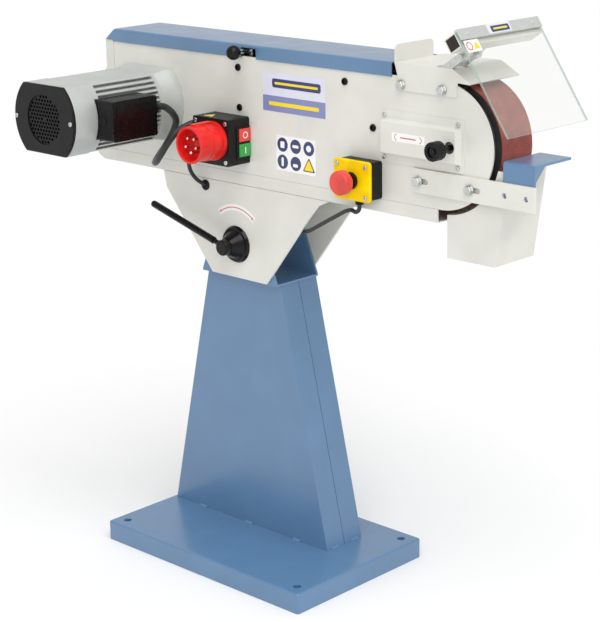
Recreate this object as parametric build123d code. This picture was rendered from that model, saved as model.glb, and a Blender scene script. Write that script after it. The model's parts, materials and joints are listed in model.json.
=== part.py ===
from build123d import *
import os
from math import asin, cos, degrees, pi, radians, sin, sqrt, tan

# Pedestal belt grinder. Millimetres, +Z up, +X towards the contact wheel, -Y towards the motor and controls.
# The origin is the centre of the four floor bolt holes, on the underside of the base.

# Base pan and floor bolts
BASE_LENGTH = 480.0
BASE_DEPTH = 320.0
BASE_HEIGHT = 36.0
BASE_SHEET = 4.0
BASE_CORNER_R = 5.0
FLOOR_BOLT_SPAN_X = 430.0
FLOOR_BOLT_SPAN_Y = 270.0
FLOOR_BOLT_HOLE_R = 7.0
FLOOR_SLEEVE_WALL = 4.0

# Column, two folded half shells welded along a vertical seam
STAND_X = -38.0
COLUMN_Y = 50.0
COLUMN_DEPTH = 90.0
COLUMN_FOOT_WIDTH = 388.0
COLUMN_HEAD_WIDTH = 178.0
COLUMN_TOP_Z = 502.0
COLUMN_SHEET = 3.0
SEAM_GROOVE_WIDTH = 1.4
SEAM_GROOVE_DEPTH = 1.0
WELD_BEAD_R = 3.0
WELD_BEAD_LENGTH = 18.0

# Saddle on the column and the pivot of the arm
SADDLE_WIDTH = 184.0
SADDLE_Y0 = -7.5
SADDLE_Y1 = 97.5
SADDLE_SHEET = 4.0
SADDLE_SHOULDER_HALF = 62.0
SADDLE_SHOULDER_Z = 580.0
SADDLE_TOP_HALF = 40.0
SADDLE_TOP_Z = 606.0
PIVOT_Z = 565.0
PIVOT_BOLT_R = 10.0
RUNNING_FIT = 0.05
BODY_GAP = 0.3

# Arm casing
ARM_FRONT_Y = -12.0
ARM_BACK_Y = 98.0
ARM_AXIS_Z = 795.0
ARM_HALF_HEIGHT = 100.5
PANEL_SHEET = 3.0
PANEL_LEFT_X = -343.0
TRAY_LEFT_X = -361.0
TRAY_RIGHT_X = 412.0
TRAY_Z0 = 672.4
TRAY_FLOOR = 2.0
CASING_SEAM = 0.3
HOOD_STRIP_X = -365.0
HOOD_BULGE_X = -410.0
HOOD_CORNER_R = 36.0
RAIL_HEIGHT = 36.0
COVER_LEFT_X = -363.0
COVER_RIGHT_X = 318.5
COVER_TOP_Z = 916.0
COVER_SHEET = 1.8
COVER_LAP = 2.5
COVER_END_RUN = 25.0
COVER_BEND_R = 4.0
HINGE_KNUCKLE_R = 3.5
HINGE_PIN_R = 1.5
HINGE_LEAF = 20.0
COVER_HINGE_XS = (-250.0, 200.0)
DOOR_HINGE_XS = (-280.0, 260.0)
DOOR_SHEET = 2.0
DOOR_TOP_Z = 879.0

# Tilt brackets that carry the arm on the pivot
BRACKET_SHEET = 4.0
BRACKET_LAP = 12.0
BRACKET_FOOT_Z = 505.0

# Belt and wheels
BELT_WIDTH = 75.0
BELT_LENGTH = 2000.0
BELT_THICKNESS = 1.0
BELT_GAP = 0.3
BELT_Y0 = 10.0
CONTACT_X = 418.0
CONTACT_R = 100.0
TYRE_THICKNESS = 12.0
DRIVE_R = 112.5
AXLE_R = 10.0
BEARING_R = 23.5
BEARING_WIDTH = 14.0
SHAFT_R = 12.0

# Motor
MOTOR_FLANGE_R = 84.0
MOTOR_FLANGE_HALF = 63.0
MOTOR_FLANGE_THICK = 12.0
MOTOR_SPIGOT_R = 40.0
MOTOR_BODY_R = 77.0
MOTOR_FLAT_HALF = 58.0
MOTOR_SHIELD_END_Y = -52.0
MOTOR_BODY_END_Y = -205.0
FAN_COVER_END_Y = -252.0
FAN_CAP_END_Y = -258.0
FAN_COVER_R = 78.5
FAN_COVER_SHEET = 2.0
FIN_PITCH = 8.1
FIN_SLOT = 5.0
FIN_DEPTH = 14.0
ROTOR_R = 46.0
GRILLE_R = 42.0
GRILLE_DISH = 2.0
GRILLE_HOLE_R = 2.6
GRILLE_PITCH = 7.4
TERMINAL_X0 = -178.0
TERMINAL_LID_X = -134.0
TERMINAL_Y0 = -203.0
TERMINAL_Y1 = -104.0
TERMINAL_HALF_HEIGHT = 34.5
TERMINAL_LID_THICK = 4.0
BOX_WALL = 3.0

# Electrics on the front panel
SWITCH_X0 = -86.0
SWITCH_X1 = 0.0
SWITCH_Z0 = 714.0
SWITCH_Z1 = 794.0
SWITCH_FRONT_Y = -62.0
BUTTON_Y = -26.0
BUTTON_LENGTH = 26.0
BUTTON_HEIGHT = 22.0
BUTTON_STAND_OUT = 4.0
STOP_BUTTON_Z = 765.0
START_BUTTON_Z = 739.0
INLET_X = -36.0
INLET_Z = 756.0
INLET_R = 30.5
INLET_WALL = 3.0
INLET_MOUTH_Y = -120.0
INLET_FLOOR_Y = -98.0
PIN_CIRCLE_R = 13.0
PIN_R = 2.5
PIN_TIP_Y = -117.0
ESTOP_X = 261.0
ESTOP_Z = 725.0
ESTOP_WIDTH = 74.0
ESTOP_HEIGHT = 62.0
ESTOP_BASE_Y = -40.0
ESTOP_PLATE = 5.0
ESTOP_PLATE_LAP = 2.0
ESTOP_HEAD_R = 20.0
ESTOP_HEAD_Y0 = -78.0
ESTOP_HEAD_Y1 = -62.0
ESTOP_STEM_R = 9.0
ESTOP_COLLAR_R = 14.0
ESTOP_TRAVEL = 6.0

# Tracking cover and knob
TRACK_X0 = 294.5
TRACK_X1 = 464.0
TRACK_Z0 = 756.5
TRACK_Z1 = 840.0
TRACK_DEPTH = 12.0
TRACK_KNOB_X = 443.0
TRACK_KNOB_Z = 797.0
TRACK_KNOB_R = 15.0

# Wheel guard, spark shield and tool rest
GUARD_SHEET = 2.5
GUARD_TOP_Z = 916.5
GUARD_BACK_Y = 107.0
SHIELD_TILT = 34.2
SHIELD_BAR = 24.0
SHIELD_BAR_X = 470.5
SHIELD_BAR_Z = 961.5
SHIELD_WIDTH = 200.0
SHIELD_THICK = 4.0
SHIELD_TOP = 14.0
SHIELD_BOTTOM = -167.0
SHIELD_PIN_X = 456.0
SHIELD_PIN_Z = 936.0
SHIELD_PIN_R = 3.0
SHIELD_LUG = 5.0
REST_BAR_X0 = 365.0
REST_BAR_X1 = 600.0
REST_BAR_Z0 = 716.0
REST_BAR_Z1 = 755.0
REST_BAR_THICK = 5.0
REST_BOLT_XS = (376.0, 478.0)
REST_SLOT_TRAVEL = 16.0
REST_TABLE_X0 = 537.5
REST_TABLE_X1 = 596.0
REST_TABLE_Z = 786.5
REST_TABLE_BACK_Y = 80.0
REST_HOLE_INSETS = (6.5, 12.0)
REST_HOLE_R = 4.5
REST_SHEET = 4.0

# Dust box under the contact wheel
DUST_SHEET = 1.5
DUST_Y0 = -6.0
DUST_Y1 = 94.0
DUST_Z0 = 617.5
DUST_TOP_Z = 769.0
DUST_ARC_R = 108.5

# Tension lever and clamp lever
LEVER_X = -8.0
LEVER_PIVOT_Z = 842.0
LEVER_ROD_Z = 904.5
LEVER_ROD_R = 4.0
LEVER_SWING = 20.0
KNOB_BALL_R = 12.5
HUB_DISC_R = 33.0
CLAMP_ROD_R = 4.5
CLAMP_GRIP_R = 6.2

# Fasteners
BOLT_R = 4.0
WASHER_R = 9.0
WASHER_THICK = 1.6
HEX_HEAD_R = 7.5
HEX_HEAD_H = 5.4
PAN_HEAD_R = 4.0
SOCKET_HEAD_R = 6.0
PANEL_SCREWS = ((-24.0, 875.5), (-22.0, 807.5), (219.0, 875.5), (279.0, 807.5))
GUARD_BOLTS = ((339.0, 882.5), (421.0, 882.5))

# Derived values
BELT_Y1 = BELT_Y0 + BELT_WIDTH
BELT_MID_Y = BELT_Y0 + BELT_WIDTH / 2
PANEL_BACK_Y = ARM_FRONT_Y + PANEL_SHEET
PANEL_Z0 = ARM_AXIS_Z - ARM_HALF_HEIGHT
PANEL_Z1 = ARM_AXIS_Z + ARM_HALF_HEIGHT
RAIL_Y0 = ARM_BACK_Y - 2 * PANEL_SHEET
RAIL_Y1 = ARM_BACK_Y - PANEL_SHEET
REST_BAR_Y1 = ARM_FRONT_Y - BODY_GAP
REST_BAR_Y0 = REST_BAR_Y1 - REST_BAR_THICK
REST_BOLT_Z = (REST_BAR_Z0 + REST_BAR_Z1) / 2
GUARD_FRONT_Y = ARM_FRONT_Y - GUARD_SHEET


def wheel_distance():
    """Centre distance at which the belt's middle line measures BELT_LENGTH."""
    mid = BELT_GAP + BELT_THICKNESS / 2
    step = DRIVE_R - CONTACT_R
    distance = BELT_LENGTH / 3
    for _ in range(12):
        wrapped = pi * (DRIVE_R + CONTACT_R + 2 * mid) + 2 * step * asin(step / distance)
        distance = sqrt(((BELT_LENGTH - wrapped) / 2) ** 2 + step ** 2)
    return distance


WHEEL_DISTANCE = wheel_distance()
DRIVE_X = CONTACT_X - WHEEL_DISTANCE
BELT_SLOPE = degrees(asin((DRIVE_R - CONTACT_R) / WHEEL_DISTANCE))


def block(x0, x1, y0, y1, z0, z1):
    """Box given by its limits."""
    return Pos((x0 + x1) / 2, (y0 + y1) / 2, (z0 + z1) / 2) * Box(x1 - x0, y1 - y0, z1 - z0)


def along_y(outline, y0, y1):
    """Outline drawn in X and Z, extruded from y0 to y1."""
    plane = Plane(origin=(0, y1, 0), x_dir=(1, 0, 0), z_dir=(0, -1, 0))
    return extrude(plane * outline, amount=y1 - y0)


def along_x(outline, x0, x1):
    """Outline drawn in Y and Z, extruded from x0 to x1."""
    plane = Plane(origin=(x0, 0, 0), x_dir=(0, 1, 0), z_dir=(1, 0, 0))
    return extrude(plane * outline, amount=x1 - x0)


def rod_y(x, z, radius, y0, y1):
    """Cylinder along Y."""
    return along_y(Pos(x, z) * Circle(radius), y0, y1)


def rod_x(y, z, radius, x0, x1):
    """Cylinder along X."""
    return along_x(Pos(y, z) * Circle(radius), x0, x1)


def rod_z(x, y, radius, z0, z1):
    """Cylinder along Z."""
    return Pos(x, y, (z0 + z1) / 2) * Cylinder(radius, z1 - z0)


def cone_y(x, z, radius0, radius1, y0, y1):
    """Cone along Y, radius0 at y0 and radius1 at y1."""
    return Pos(x, (y0 + y1) / 2, z) * Rot(-90, 0, 0) * Cone(radius0, radius1, y1 - y0)


def shape_of(*points):
    """Closed outline through the given corners."""
    return make_face(Polyline(*points, close=True))


def rod_between(start, end, radius):
    """Straight round bar from start to end."""
    direction = Vector(*end) - Vector(*start)
    return extrude(Plane(origin=start, z_dir=direction) * Circle(radius), amount=direction.length)


def group(*solids):
    """Separate solids kept together in one node."""
    return Compound(children=[solid for item in solids for solid in item.solids()])


def save(name, shape):
    """Write one node."""
    export_step(shape, f"parts/{name}.step")


# --- Stand ------------------------------------------------------------------------------------------------

def floor_bolts():
    """Centres of the floor bolt holes."""
    return [(sx * FLOOR_BOLT_SPAN_X / 2, sy * FLOOR_BOLT_SPAN_Y / 2) for sx in (-1, 1) for sy in (-1, 1)]


def base_plate():
    """Folded pan, open below, with a sleeve welded in at each floor bolt."""
    half_x = BASE_LENGTH / 2
    half_y = BASE_DEPTH / 2
    pan = block(-half_x, half_x, -half_y, half_y, 0, BASE_HEIGHT)
    pan = fillet(pan.edges().filter_by(Axis.Z), BASE_CORNER_R)
    pan = fillet(pan.edges().group_by(Axis.Z)[-1], BASE_SHEET * 0.9)
    wall = BASE_SHEET
    pan -= block(-half_x + wall, half_x - wall, -half_y + wall, half_y - wall, -1, BASE_HEIGHT - wall)
    for x, y in floor_bolts():
        pan += rod_z(x, y, FLOOR_BOLT_HOLE_R + FLOOR_SLEEVE_WALL, 0, BASE_HEIGHT - wall)
    for x, y in floor_bolts():
        pan -= rod_z(x, y, FLOOR_BOLT_HOLE_R, -1, BASE_HEIGHT + 1)
    return pan


def column_prism(inset):
    """Tapered column, its four sides moved in by inset."""
    foot = Rectangle(COLUMN_FOOT_WIDTH - 2 * inset, COLUMN_DEPTH - 2 * inset)
    head = Rectangle(COLUMN_HEAD_WIDTH - 2 * inset, COLUMN_DEPTH - 2 * inset)
    low = Plane(origin=(STAND_X, COLUMN_Y, BASE_HEIGHT)) * foot
    high = Plane(origin=(STAND_X, COLUMN_Y, COLUMN_TOP_Z)) * head
    return loft([low, high])


def weld_bead(x, y, turn):
    """Short bead of weld at the column's foot."""
    bead = Pos(x, y, BASE_HEIGHT) * Rot(0, 0, turn) * Rot(0, 90, 0) * Cylinder(WELD_BEAD_R, WELD_BEAD_LENGTH)
    return bead & block(x - 40, x + 40, y - 40, y + 40, BASE_HEIGHT, BASE_HEIGHT + 10)


def column_shells():
    """Front and back half shells, with a shallow groove along the seam and weld beads at the foot."""
    walls = column_prism(0) - column_prism(COLUMN_SHEET)
    groove = block(-300, 300, COLUMN_Y - SEAM_GROOVE_WIDTH / 2, COLUMN_Y + SEAM_GROOVE_WIDTH / 2, 0, 600)
    walls -= groove & (column_prism(0) - column_prism(SEAM_GROOVE_DEPTH))
    front_y = COLUMN_Y - COLUMN_DEPTH / 2
    back_y = COLUMN_Y + COLUMN_DEPTH / 2
    front = walls & block(-300, 300, front_y - 1, COLUMN_Y, 0, 600)
    back = walls & block(-300, 300, COLUMN_Y, back_y + 1, 0, 600)
    side_x = COLUMN_FOOT_WIDTH / 2 - 1
    for x in (-120, 0, 120):
        front += weld_bead(STAND_X + x, front_y, 0)
        back += weld_bead(STAND_X + x, back_y, 0)
    for side in (-1, 1):
        front += weld_bead(STAND_X + side * side_x, COLUMN_Y - 25, 90)
        back += weld_bead(STAND_X + side * side_x, COLUMN_Y + 25, 90)
    return front, back


def saddle_flange(y0, y1):
    """One upright cheek of the saddle."""
    half = SADDLE_WIDTH / 2
    base_z = COLUMN_TOP_Z
    return along_y(shape_of(
        (STAND_X - half, base_z), (STAND_X + half, base_z), (STAND_X + half, base_z + SADDLE_SHEET),
        (STAND_X + SADDLE_SHOULDER_HALF, SADDLE_SHOULDER_Z), (STAND_X + SADDLE_TOP_HALF, SADDLE_TOP_Z),
        (STAND_X - SADDLE_TOP_HALF, SADDLE_TOP_Z), (STAND_X - SADDLE_SHOULDER_HALF, SADDLE_SHOULDER_Z),
        (STAND_X - half, base_z + SADDLE_SHEET)), y0, y1)


def saddle():
    """U-shaped fork welded to the column, drilled for the pivot bolt."""
    half = SADDLE_WIDTH / 2
    fork = block(STAND_X - half, STAND_X + half, SADDLE_Y0, SADDLE_Y1, COLUMN_TOP_Z, COLUMN_TOP_Z + SADDLE_SHEET)
    fork += saddle_flange(SADDLE_Y0, SADDLE_Y0 + SADDLE_SHEET)
    fork += saddle_flange(SADDLE_Y1 - SADDLE_SHEET, SADDLE_Y1)
    return fork - rod_y(STAND_X, PIVOT_Z, PIVOT_BOLT_R, SADDLE_Y0 - 1, SADDLE_Y1 + 1)


BOLT_BACK_Y = ARM_BACK_Y + BRACKET_SHEET + BODY_GAP


def pivot_bolt():
    """Pivot bolt fixed in the saddle, with its washer and hexagon head at the back."""
    bolt = rod_y(STAND_X, PIVOT_Z, PIVOT_BOLT_R, -44, BOLT_BACK_Y + 3)
    bolt += along_y(Pos(STAND_X, PIVOT_Z) * RegularPolygon(17, 6), BOLT_BACK_Y + 3, BOLT_BACK_Y + 14)
    washer = rod_y(STAND_X, PIVOT_Z, 22, BOLT_BACK_Y, BOLT_BACK_Y + 3)
    washer -= rod_y(STAND_X, PIVOT_Z, PIVOT_BOLT_R, BOLT_BACK_Y - 1, BOLT_BACK_Y + 4)
    return group(bolt, washer)


# --- Clamp lever ------------------------------------------------------------------------------------------

CLAMP_ROOT = (STAND_X - 6, -40.0, PIVOT_Z + 2)
CLAMP_TIP = (-208.0, -48.0, 618.0)
CLAMP_GRIP_START = 0.12


def clamp_lever():
    """Stepped hub that screws onto the pivot bolt, and its handle bar with a grip."""
    face_y = ARM_FRONT_Y - BODY_GAP
    hub = cone_y(STAND_X, PIVOT_Z, HUB_DISC_R - 3, HUB_DISC_R, face_y - 5, face_y)
    hub += cone_y(STAND_X, PIVOT_Z, 15, 26, -38, face_y - 5)
    hub += rod_y(STAND_X, PIVOT_Z, 14, -50, -36)
    hub = fillet(hub.edges().group_by(Axis.Y)[0], 3)
    hub -= rod_y(STAND_X, PIVOT_Z, PIVOT_BOLT_R + RUNNING_FIT, -44.3, face_y + 1)
    handle = rod_between(CLAMP_ROOT, CLAMP_TIP, CLAMP_ROD_R)
    hub -= handle
    handle -= rod_y(STAND_X, PIVOT_Z, 13, -60, 0)
    root = Vector(*CLAMP_ROOT)
    grip_start = root + (Vector(*CLAMP_TIP) - root) * CLAMP_GRIP_START
    handle += rod_between(tuple(grip_start), CLAMP_TIP, CLAMP_GRIP_R)
    handle += Pos(*CLAMP_TIP) * Sphere(CLAMP_GRIP_R)
    return hub - handle, handle


# --- Arm casing -------------------------------------------------------------------------------------------

def panel_outline():
    """Front panel: a long rectangle that ends in a half circle round the contact wheel."""
    length = CONTACT_X - PANEL_LEFT_X
    middle = (CONTACT_X + PANEL_LEFT_X) / 2
    body = Pos(middle, ARM_AXIS_Z) * Rectangle(length, 2 * ARM_HALF_HEIGHT)
    return body + Pos(CONTACT_X, ARM_AXIS_Z) * Circle(ARM_HALF_HEIGHT)


def front_panel():
    """Front panel with holes for the motor spigot, the tracking screw and the bolts."""
    panel = along_y(panel_outline(), ARM_FRONT_Y, PANEL_BACK_Y)
    y0 = ARM_FRONT_Y - 1
    y1 = PANEL_BACK_Y + 1
    panel -= rod_y(DRIVE_X, ARM_AXIS_Z, MOTOR_SPIGOT_R, y0, y1)
    panel -= rod_y(TRACK_KNOB_X, TRACK_KNOB_Z, 5 + RUNNING_FIT, y0, y1)
    for x in REST_BOLT_XS:
        panel -= rod_y(x, REST_BOLT_Z, BOLT_R, y0, y1)
    for x, z in GUARD_BOLTS + PANEL_SCREWS:
        panel -= rod_y(x, z, BOLT_R, y0, y1)
    return panel


def bottom_tray():
    """Folded tray under the belt, open at its right end, with the door's fixed hinge knuckles."""
    lip_z = PANEL_Z0 - CASING_SEAM
    tray = block(TRAY_LEFT_X, TRAY_RIGHT_X, ARM_FRONT_Y, ARM_BACK_Y, TRAY_Z0, lip_z)
    tray = fillet(tray.edges().filter_by(Axis.X).group_by(Axis.Z)[0], TRAY_FLOOR)
    back_y = ARM_BACK_Y - PANEL_SHEET
    tray -= block(TRAY_LEFT_X - 1, TRAY_RIGHT_X + 1, PANEL_BACK_Y, back_y, TRAY_Z0 + TRAY_FLOOR, 900)
    tray += block(PANEL_LEFT_X + 5, TRAY_RIGHT_X - 10, PANEL_BACK_Y, PANEL_BACK_Y + 2, TRAY_Z0 + TRAY_FLOOR, 703)
    for x in DOOR_HINGE_XS:
        tray += block(x - HINGE_LEAF, x, ARM_BACK_Y - 1, 101, 687, 692)
        tray += rod_x(101, 692, HINGE_KNUCKLE_R - 0.5, x - HINGE_LEAF, x)
        tray += rod_x(101, 692, HINGE_PIN_R, x, x + HINGE_LEAF)
    return tray


def hood_outline(inset):
    """End hood seen from the front: narrow at the top and bulging round the drive wheel."""
    corner = HOOD_CORNER_R - inset
    centre_x = HOOD_BULGE_X + HOOD_CORNER_R
    centre_z = TRAY_Z0 + HOOD_CORNER_R
    right_x = PANEL_LEFT_X - 1 + 6 * inset
    edges = Polyline((centre_x, TRAY_Z0 + inset), (right_x, TRAY_Z0 + inset), (right_x, PANEL_Z1 - inset),
                     (HOOD_STRIP_X + inset, PANEL_Z1 - inset), (HOOD_STRIP_X + inset, 845 + 0.4 * inset),
                     (HOOD_BULGE_X + inset, 790 + 0.4 * inset), (HOOD_BULGE_X + inset, centre_z))
    bend = CenterArc((centre_x, centre_z), corner, 180, 90)
    return make_face(edges + bend)


def end_hood():
    """Pressed hood that closes the drive end of the casing."""
    hood = along_y(hood_outline(0), ARM_FRONT_Y, ARM_BACK_Y)
    hood -= along_y(hood_outline(PANEL_SHEET), PANEL_BACK_Y, ARM_BACK_Y - PANEL_SHEET)
    return hood - block(TRAY_LEFT_X - CASING_SEAM, 0, ARM_FRONT_Y - 1, ARM_BACK_Y + 1, 600, PANEL_Z0)


def rear_rail():
    """Rail along the top of the open back, with the cover's fixed hinge knuckles and pins."""
    rail = block(-358, 440, RAIL_Y0, RAIL_Y1, PANEL_Z1 - RAIL_HEIGHT, PANEL_Z1 - PANEL_SHEET)
    for x in COVER_HINGE_XS:
        rail += block(x - HINGE_LEAF, x - 0.2, RAIL_Y0, 104, 889, 894.5)
        rail += rod_x(104, 897, HINGE_KNUCKLE_R, x - HINGE_LEAF, x - 0.2)
        rail += rod_x(104, 897, HINGE_PIN_R, x - 0.2, x + HINGE_LEAF)
    return rail


def cover_shell(inset):
    """Solid of the top cover, its front, back, top and end moved in by inset."""
    y0 = ARM_FRONT_Y - BODY_GAP - COVER_SHEET + inset
    y1 = ARM_BACK_Y + BODY_GAP + COVER_SHEET - inset
    z0 = PANEL_Z1 - COVER_LAP - (5 if inset else 0)
    top = COVER_TOP_Z - inset
    run = COVER_END_RUN + (0.6 if inset else 0)
    right = COVER_RIGHT_X + (5 if inset else 0)
    low_x = COVER_LEFT_X + 1.4 * inset
    outline = shape_of((low_x, z0), (low_x, PANEL_Z1), (low_x + run, top), (right, top), (right, z0))
    shell = along_y(outline, y0, y1)
    ridge = [edge for edge in shell.edges().filter_by(Axis.X) if edge.center().Z > top - 0.5]
    return fillet(ridge, COVER_BEND_R - inset)


def top_cover():
    """Hinged cover over the upper belt run, notched for the tension lever."""
    cover = cover_shell(0) - cover_shell(COVER_SHEET)
    slot_x1 = LEVER_X + (LEVER_ROD_Z - LEVER_PIVOT_Z) * sin(radians(LEVER_SWING)) + LEVER_ROD_R + 3
    cover -= block(LEVER_X - LEVER_ROD_R - 3, slot_x1, ARM_FRONT_Y - 4, ARM_FRONT_Y + 1, 880, LEVER_ROD_Z + 6)
    flange_y1 = ARM_BACK_Y + BODY_GAP + COVER_SHEET
    cover -= block(COVER_LEFT_X - 5, COVER_RIGHT_X + 5, ARM_BACK_Y, flange_y1 + 1, 880, 903)
    cover -= block(COVER_LEFT_X - 5, PANEL_LEFT_X, -50, 150, 880, PANEL_Z1 + BODY_GAP)
    for x in COVER_HINGE_XS:
        x0 = x + 0.2
        x1 = x + HINGE_LEAF
        cover += block(x0, x1, flange_y1 - COVER_SHEET, flange_y1, 896, 906)
        cover += block(x0, x1, flange_y1 - COVER_SHEET, 104, 896, 899)
        cover += rod_x(104, 897, HINGE_KNUCKLE_R, x0, x1)
        cover -= rod_x(104, 897, HINGE_PIN_R + RUNNING_FIT, x0 - 1, x1 + 1)
    return cover


def rear_door():
    """Service door on the back of the arm, hinged along the tray."""
    z0 = PANEL_Z0 + 1
    half = (DOOR_TOP_Z - z0) / 2
    middle_z = (DOOR_TOP_Z + z0) / 2
    body = Pos((CONTACT_X + PANEL_LEFT_X) / 2, middle_z) * Rectangle(CONTACT_X - PANEL_LEFT_X, 2 * half)
    y0 = RAIL_Y1 + 0.5
    door = along_y(body + Pos(CONTACT_X, middle_z) * Circle(half), y0, y0 + DOOR_SHEET)
    for x in DOOR_HINGE_XS:
        x0 = x + 0.2
        x1 = x + HINGE_LEAF
        door += block(x0, x1, y0, 101, z0, z0 + 2)
        door += block(x0, x1, 99, 103, 692, z0 + 2)
        door += rod_x(101, 692, HINGE_KNUCKLE_R - 0.5, x0, x1)
        door -= rod_x(101, 692, HINGE_PIN_R + RUNNING_FIT, x0 - 1, x1 + 1)
    return door


def door_knob():
    """Pull knob on the service door."""
    y0 = RAIL_Y1 + 0.5 + DOOR_SHEET
    knob = rod_y(40, 850, 6, y0, y0 + 8) + rod_y(40, 850, 13, y0 + 8, y0 + 20)
    return fillet(knob.edges().group_by(Axis.Y)[-1], 4)


def bracket_outline():
    """Tilt bracket: a wide plate under the arm that narrows to the pivot."""
    return shape_of((STAND_X - 62, BRACKET_FOOT_Z), (STAND_X + 72, BRACKET_FOOT_Z), (137, 638), (158, 662),
                    (178, 671), (178, TRAY_Z0), (-220, TRAY_Z0), (-213, 643))


def tilt_brackets():
    """Front and back bracket plates, turning on the pivot bolt and fixed to the tray."""
    plates = []
    for y0 in (ARM_FRONT_Y, ARM_BACK_Y):
        plate = along_y(bracket_outline(), y0, y0 + BRACKET_SHEET)
        plate -= rod_y(STAND_X, PIVOT_Z, PIVOT_BOLT_R + RUNNING_FIT, y0 - 1, y0 + BRACKET_SHEET + 1)
        if y0 < 0:
            plate -= rod_y(GROMMET[0], GROMMET[1], GROMMET_R, y0 - 1, y0 + BRACKET_SHEET + 1)
        else:
            plate += block(-200, 150, y0, y0 + BRACKET_SHEET, TRAY_Z0 - 1, TRAY_Z0 + BRACKET_LAP)
        plates.append(plate)
    return group(*plates)


# --- Belt drive -------------------------------------------------------------------------------------------

def belt_loop(extra):
    """Outline round both wheels, larger than their radii by extra."""
    lean = radians(BELT_SLOPE)
    drive = DRIVE_R + extra
    contact = CONTACT_R + extra
    corners = []
    for side in (1, -1):
        corners.append((DRIVE_X + drive * sin(lean), ARM_AXIS_Z + side * drive * cos(lean)))
        corners.append((CONTACT_X + contact * sin(lean), ARM_AXIS_Z + side * contact * cos(lean)))
    sides = shape_of(corners[0], corners[1], corners[3], corners[2])
    return sides + Pos(DRIVE_X, ARM_AXIS_Z) * Circle(drive) + Pos(CONTACT_X, ARM_AXIS_Z) * Circle(contact)


def abrasive_belt():
    """Closed abrasive belt."""
    outer = along_y(belt_loop(BELT_GAP + BELT_THICKNESS), BELT_Y0, BELT_Y1)
    return outer - along_y(belt_loop(BELT_GAP), BELT_Y0 - 1, BELT_Y1 + 1)


def wheel_web(x, radius, rim, hub, y0, y1, holes):
    """Spoked disc: rim, thin web with lightening holes, and hub."""
    wheel = rod_y(x, ARM_AXIS_Z, radius, y0, y1) - rod_y(x, ARM_AXIS_Z, radius - rim, y0 - 1, y1 + 1)
    middle = (y0 + y1) / 2
    web = rod_y(x, ARM_AXIS_Z, radius - rim, middle - 6, middle + 6)
    pitch_r = (radius - rim + hub) / 2
    for index in range(holes):
        turn = 2 * pi * index / holes
        web -= rod_y(x + pitch_r * cos(turn), ARM_AXIS_Z + pitch_r * sin(turn), pitch_r * 0.28, y0, y1)
    return wheel + web + rod_y(x, ARM_AXIS_Z, hub, y0 + 4, y1 - 4)


def drive_wheel():
    """Cast drive wheel on the motor shaft."""
    wheel = wheel_web(DRIVE_X, DRIVE_R, 12, 28, BELT_Y0, BELT_Y1, 6)
    return wheel - rod_y(DRIVE_X, ARM_AXIS_Z, SHAFT_R, BELT_Y0 - 1, BELT_Y1 + 1)


def contact_wheel():
    """Aluminium core of the contact wheel and its rubber tyre with a serrated tread."""
    core_r = CONTACT_R - TYRE_THICKNESS
    core = wheel_web(CONTACT_X, core_r, 9, 33, BELT_Y0 + 1, BELT_Y1 - 1, 6)
    for y0, y1 in bearing_seats():
        core -= rod_y(CONTACT_X, ARM_AXIS_Z, BEARING_R, y0, y1)
    core -= rod_y(CONTACT_X, ARM_AXIS_Z, AXLE_R + 3, BELT_Y0 - 1, BELT_Y1 + 1)
    tyre = rod_y(CONTACT_X, ARM_AXIS_Z, CONTACT_R, BELT_Y0, BELT_Y1)
    tyre -= rod_y(CONTACT_X, ARM_AXIS_Z, core_r, BELT_Y0 - 1, BELT_Y1 + 1)
    return core, tyre


def bearing_seats():
    """Y limits of the two bearing seats, one in each end of the hub."""
    return ((BELT_Y0 + 5, BELT_Y0 + 5 + BEARING_WIDTH), (BELT_Y1 - 5 - BEARING_WIDTH, BELT_Y1 - 5))


def contact_bearings():
    """Pair of ball bearings in the contact wheel's hub."""
    rings = []
    for y0, y1 in bearing_seats():
        ring = rod_y(CONTACT_X, ARM_AXIS_Z, BEARING_R, y0, y1)
        ring -= rod_y(CONTACT_X, ARM_AXIS_Z, AXLE_R + RUNNING_FIT, y0 - 1, y1 + 1)
        rings.append(ring)
    return group(*rings)


CARRIAGE_Y0 = -7.5
CARRIAGE_Y1 = 6.5
CARRIAGE_HALF = 8.0
CARRIAGE_X0 = 160.0
CARRIAGE_TRAVEL = 6.0


def contact_carriage():
    """Sliding bar that carries the contact wheel's axle."""
    z0 = ARM_AXIS_Z - CARRIAGE_HALF
    z1 = ARM_AXIS_Z + CARRIAGE_HALF
    bar = block(CARRIAGE_X0, CONTACT_X, CARRIAGE_Y0, CARRIAGE_Y1, z0, z1)
    bar += rod_y(CONTACT_X, ARM_AXIS_Z, 20, CARRIAGE_Y0, CARRIAGE_Y1)
    bar += rod_x((CARRIAGE_Y0 + CARRIAGE_Y1) / 2, ARM_AXIS_Z, 5, 120, CARRIAGE_X0)
    return bar - rod_y(CONTACT_X, ARM_AXIS_Z, AXLE_R, CARRIAGE_Y0 - 1, CARRIAGE_Y1 + 1)


def contact_axle():
    """Axle of the contact wheel, with a retaining collar at its free end."""
    axle = rod_y(CONTACT_X, ARM_AXIS_Z, AXLE_R, CARRIAGE_Y0, BELT_Y1 + 1)
    return axle + rod_y(CONTACT_X, ARM_AXIS_Z, AXLE_R + 3, BELT_Y1 + 1, BELT_Y1 + 6)


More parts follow.
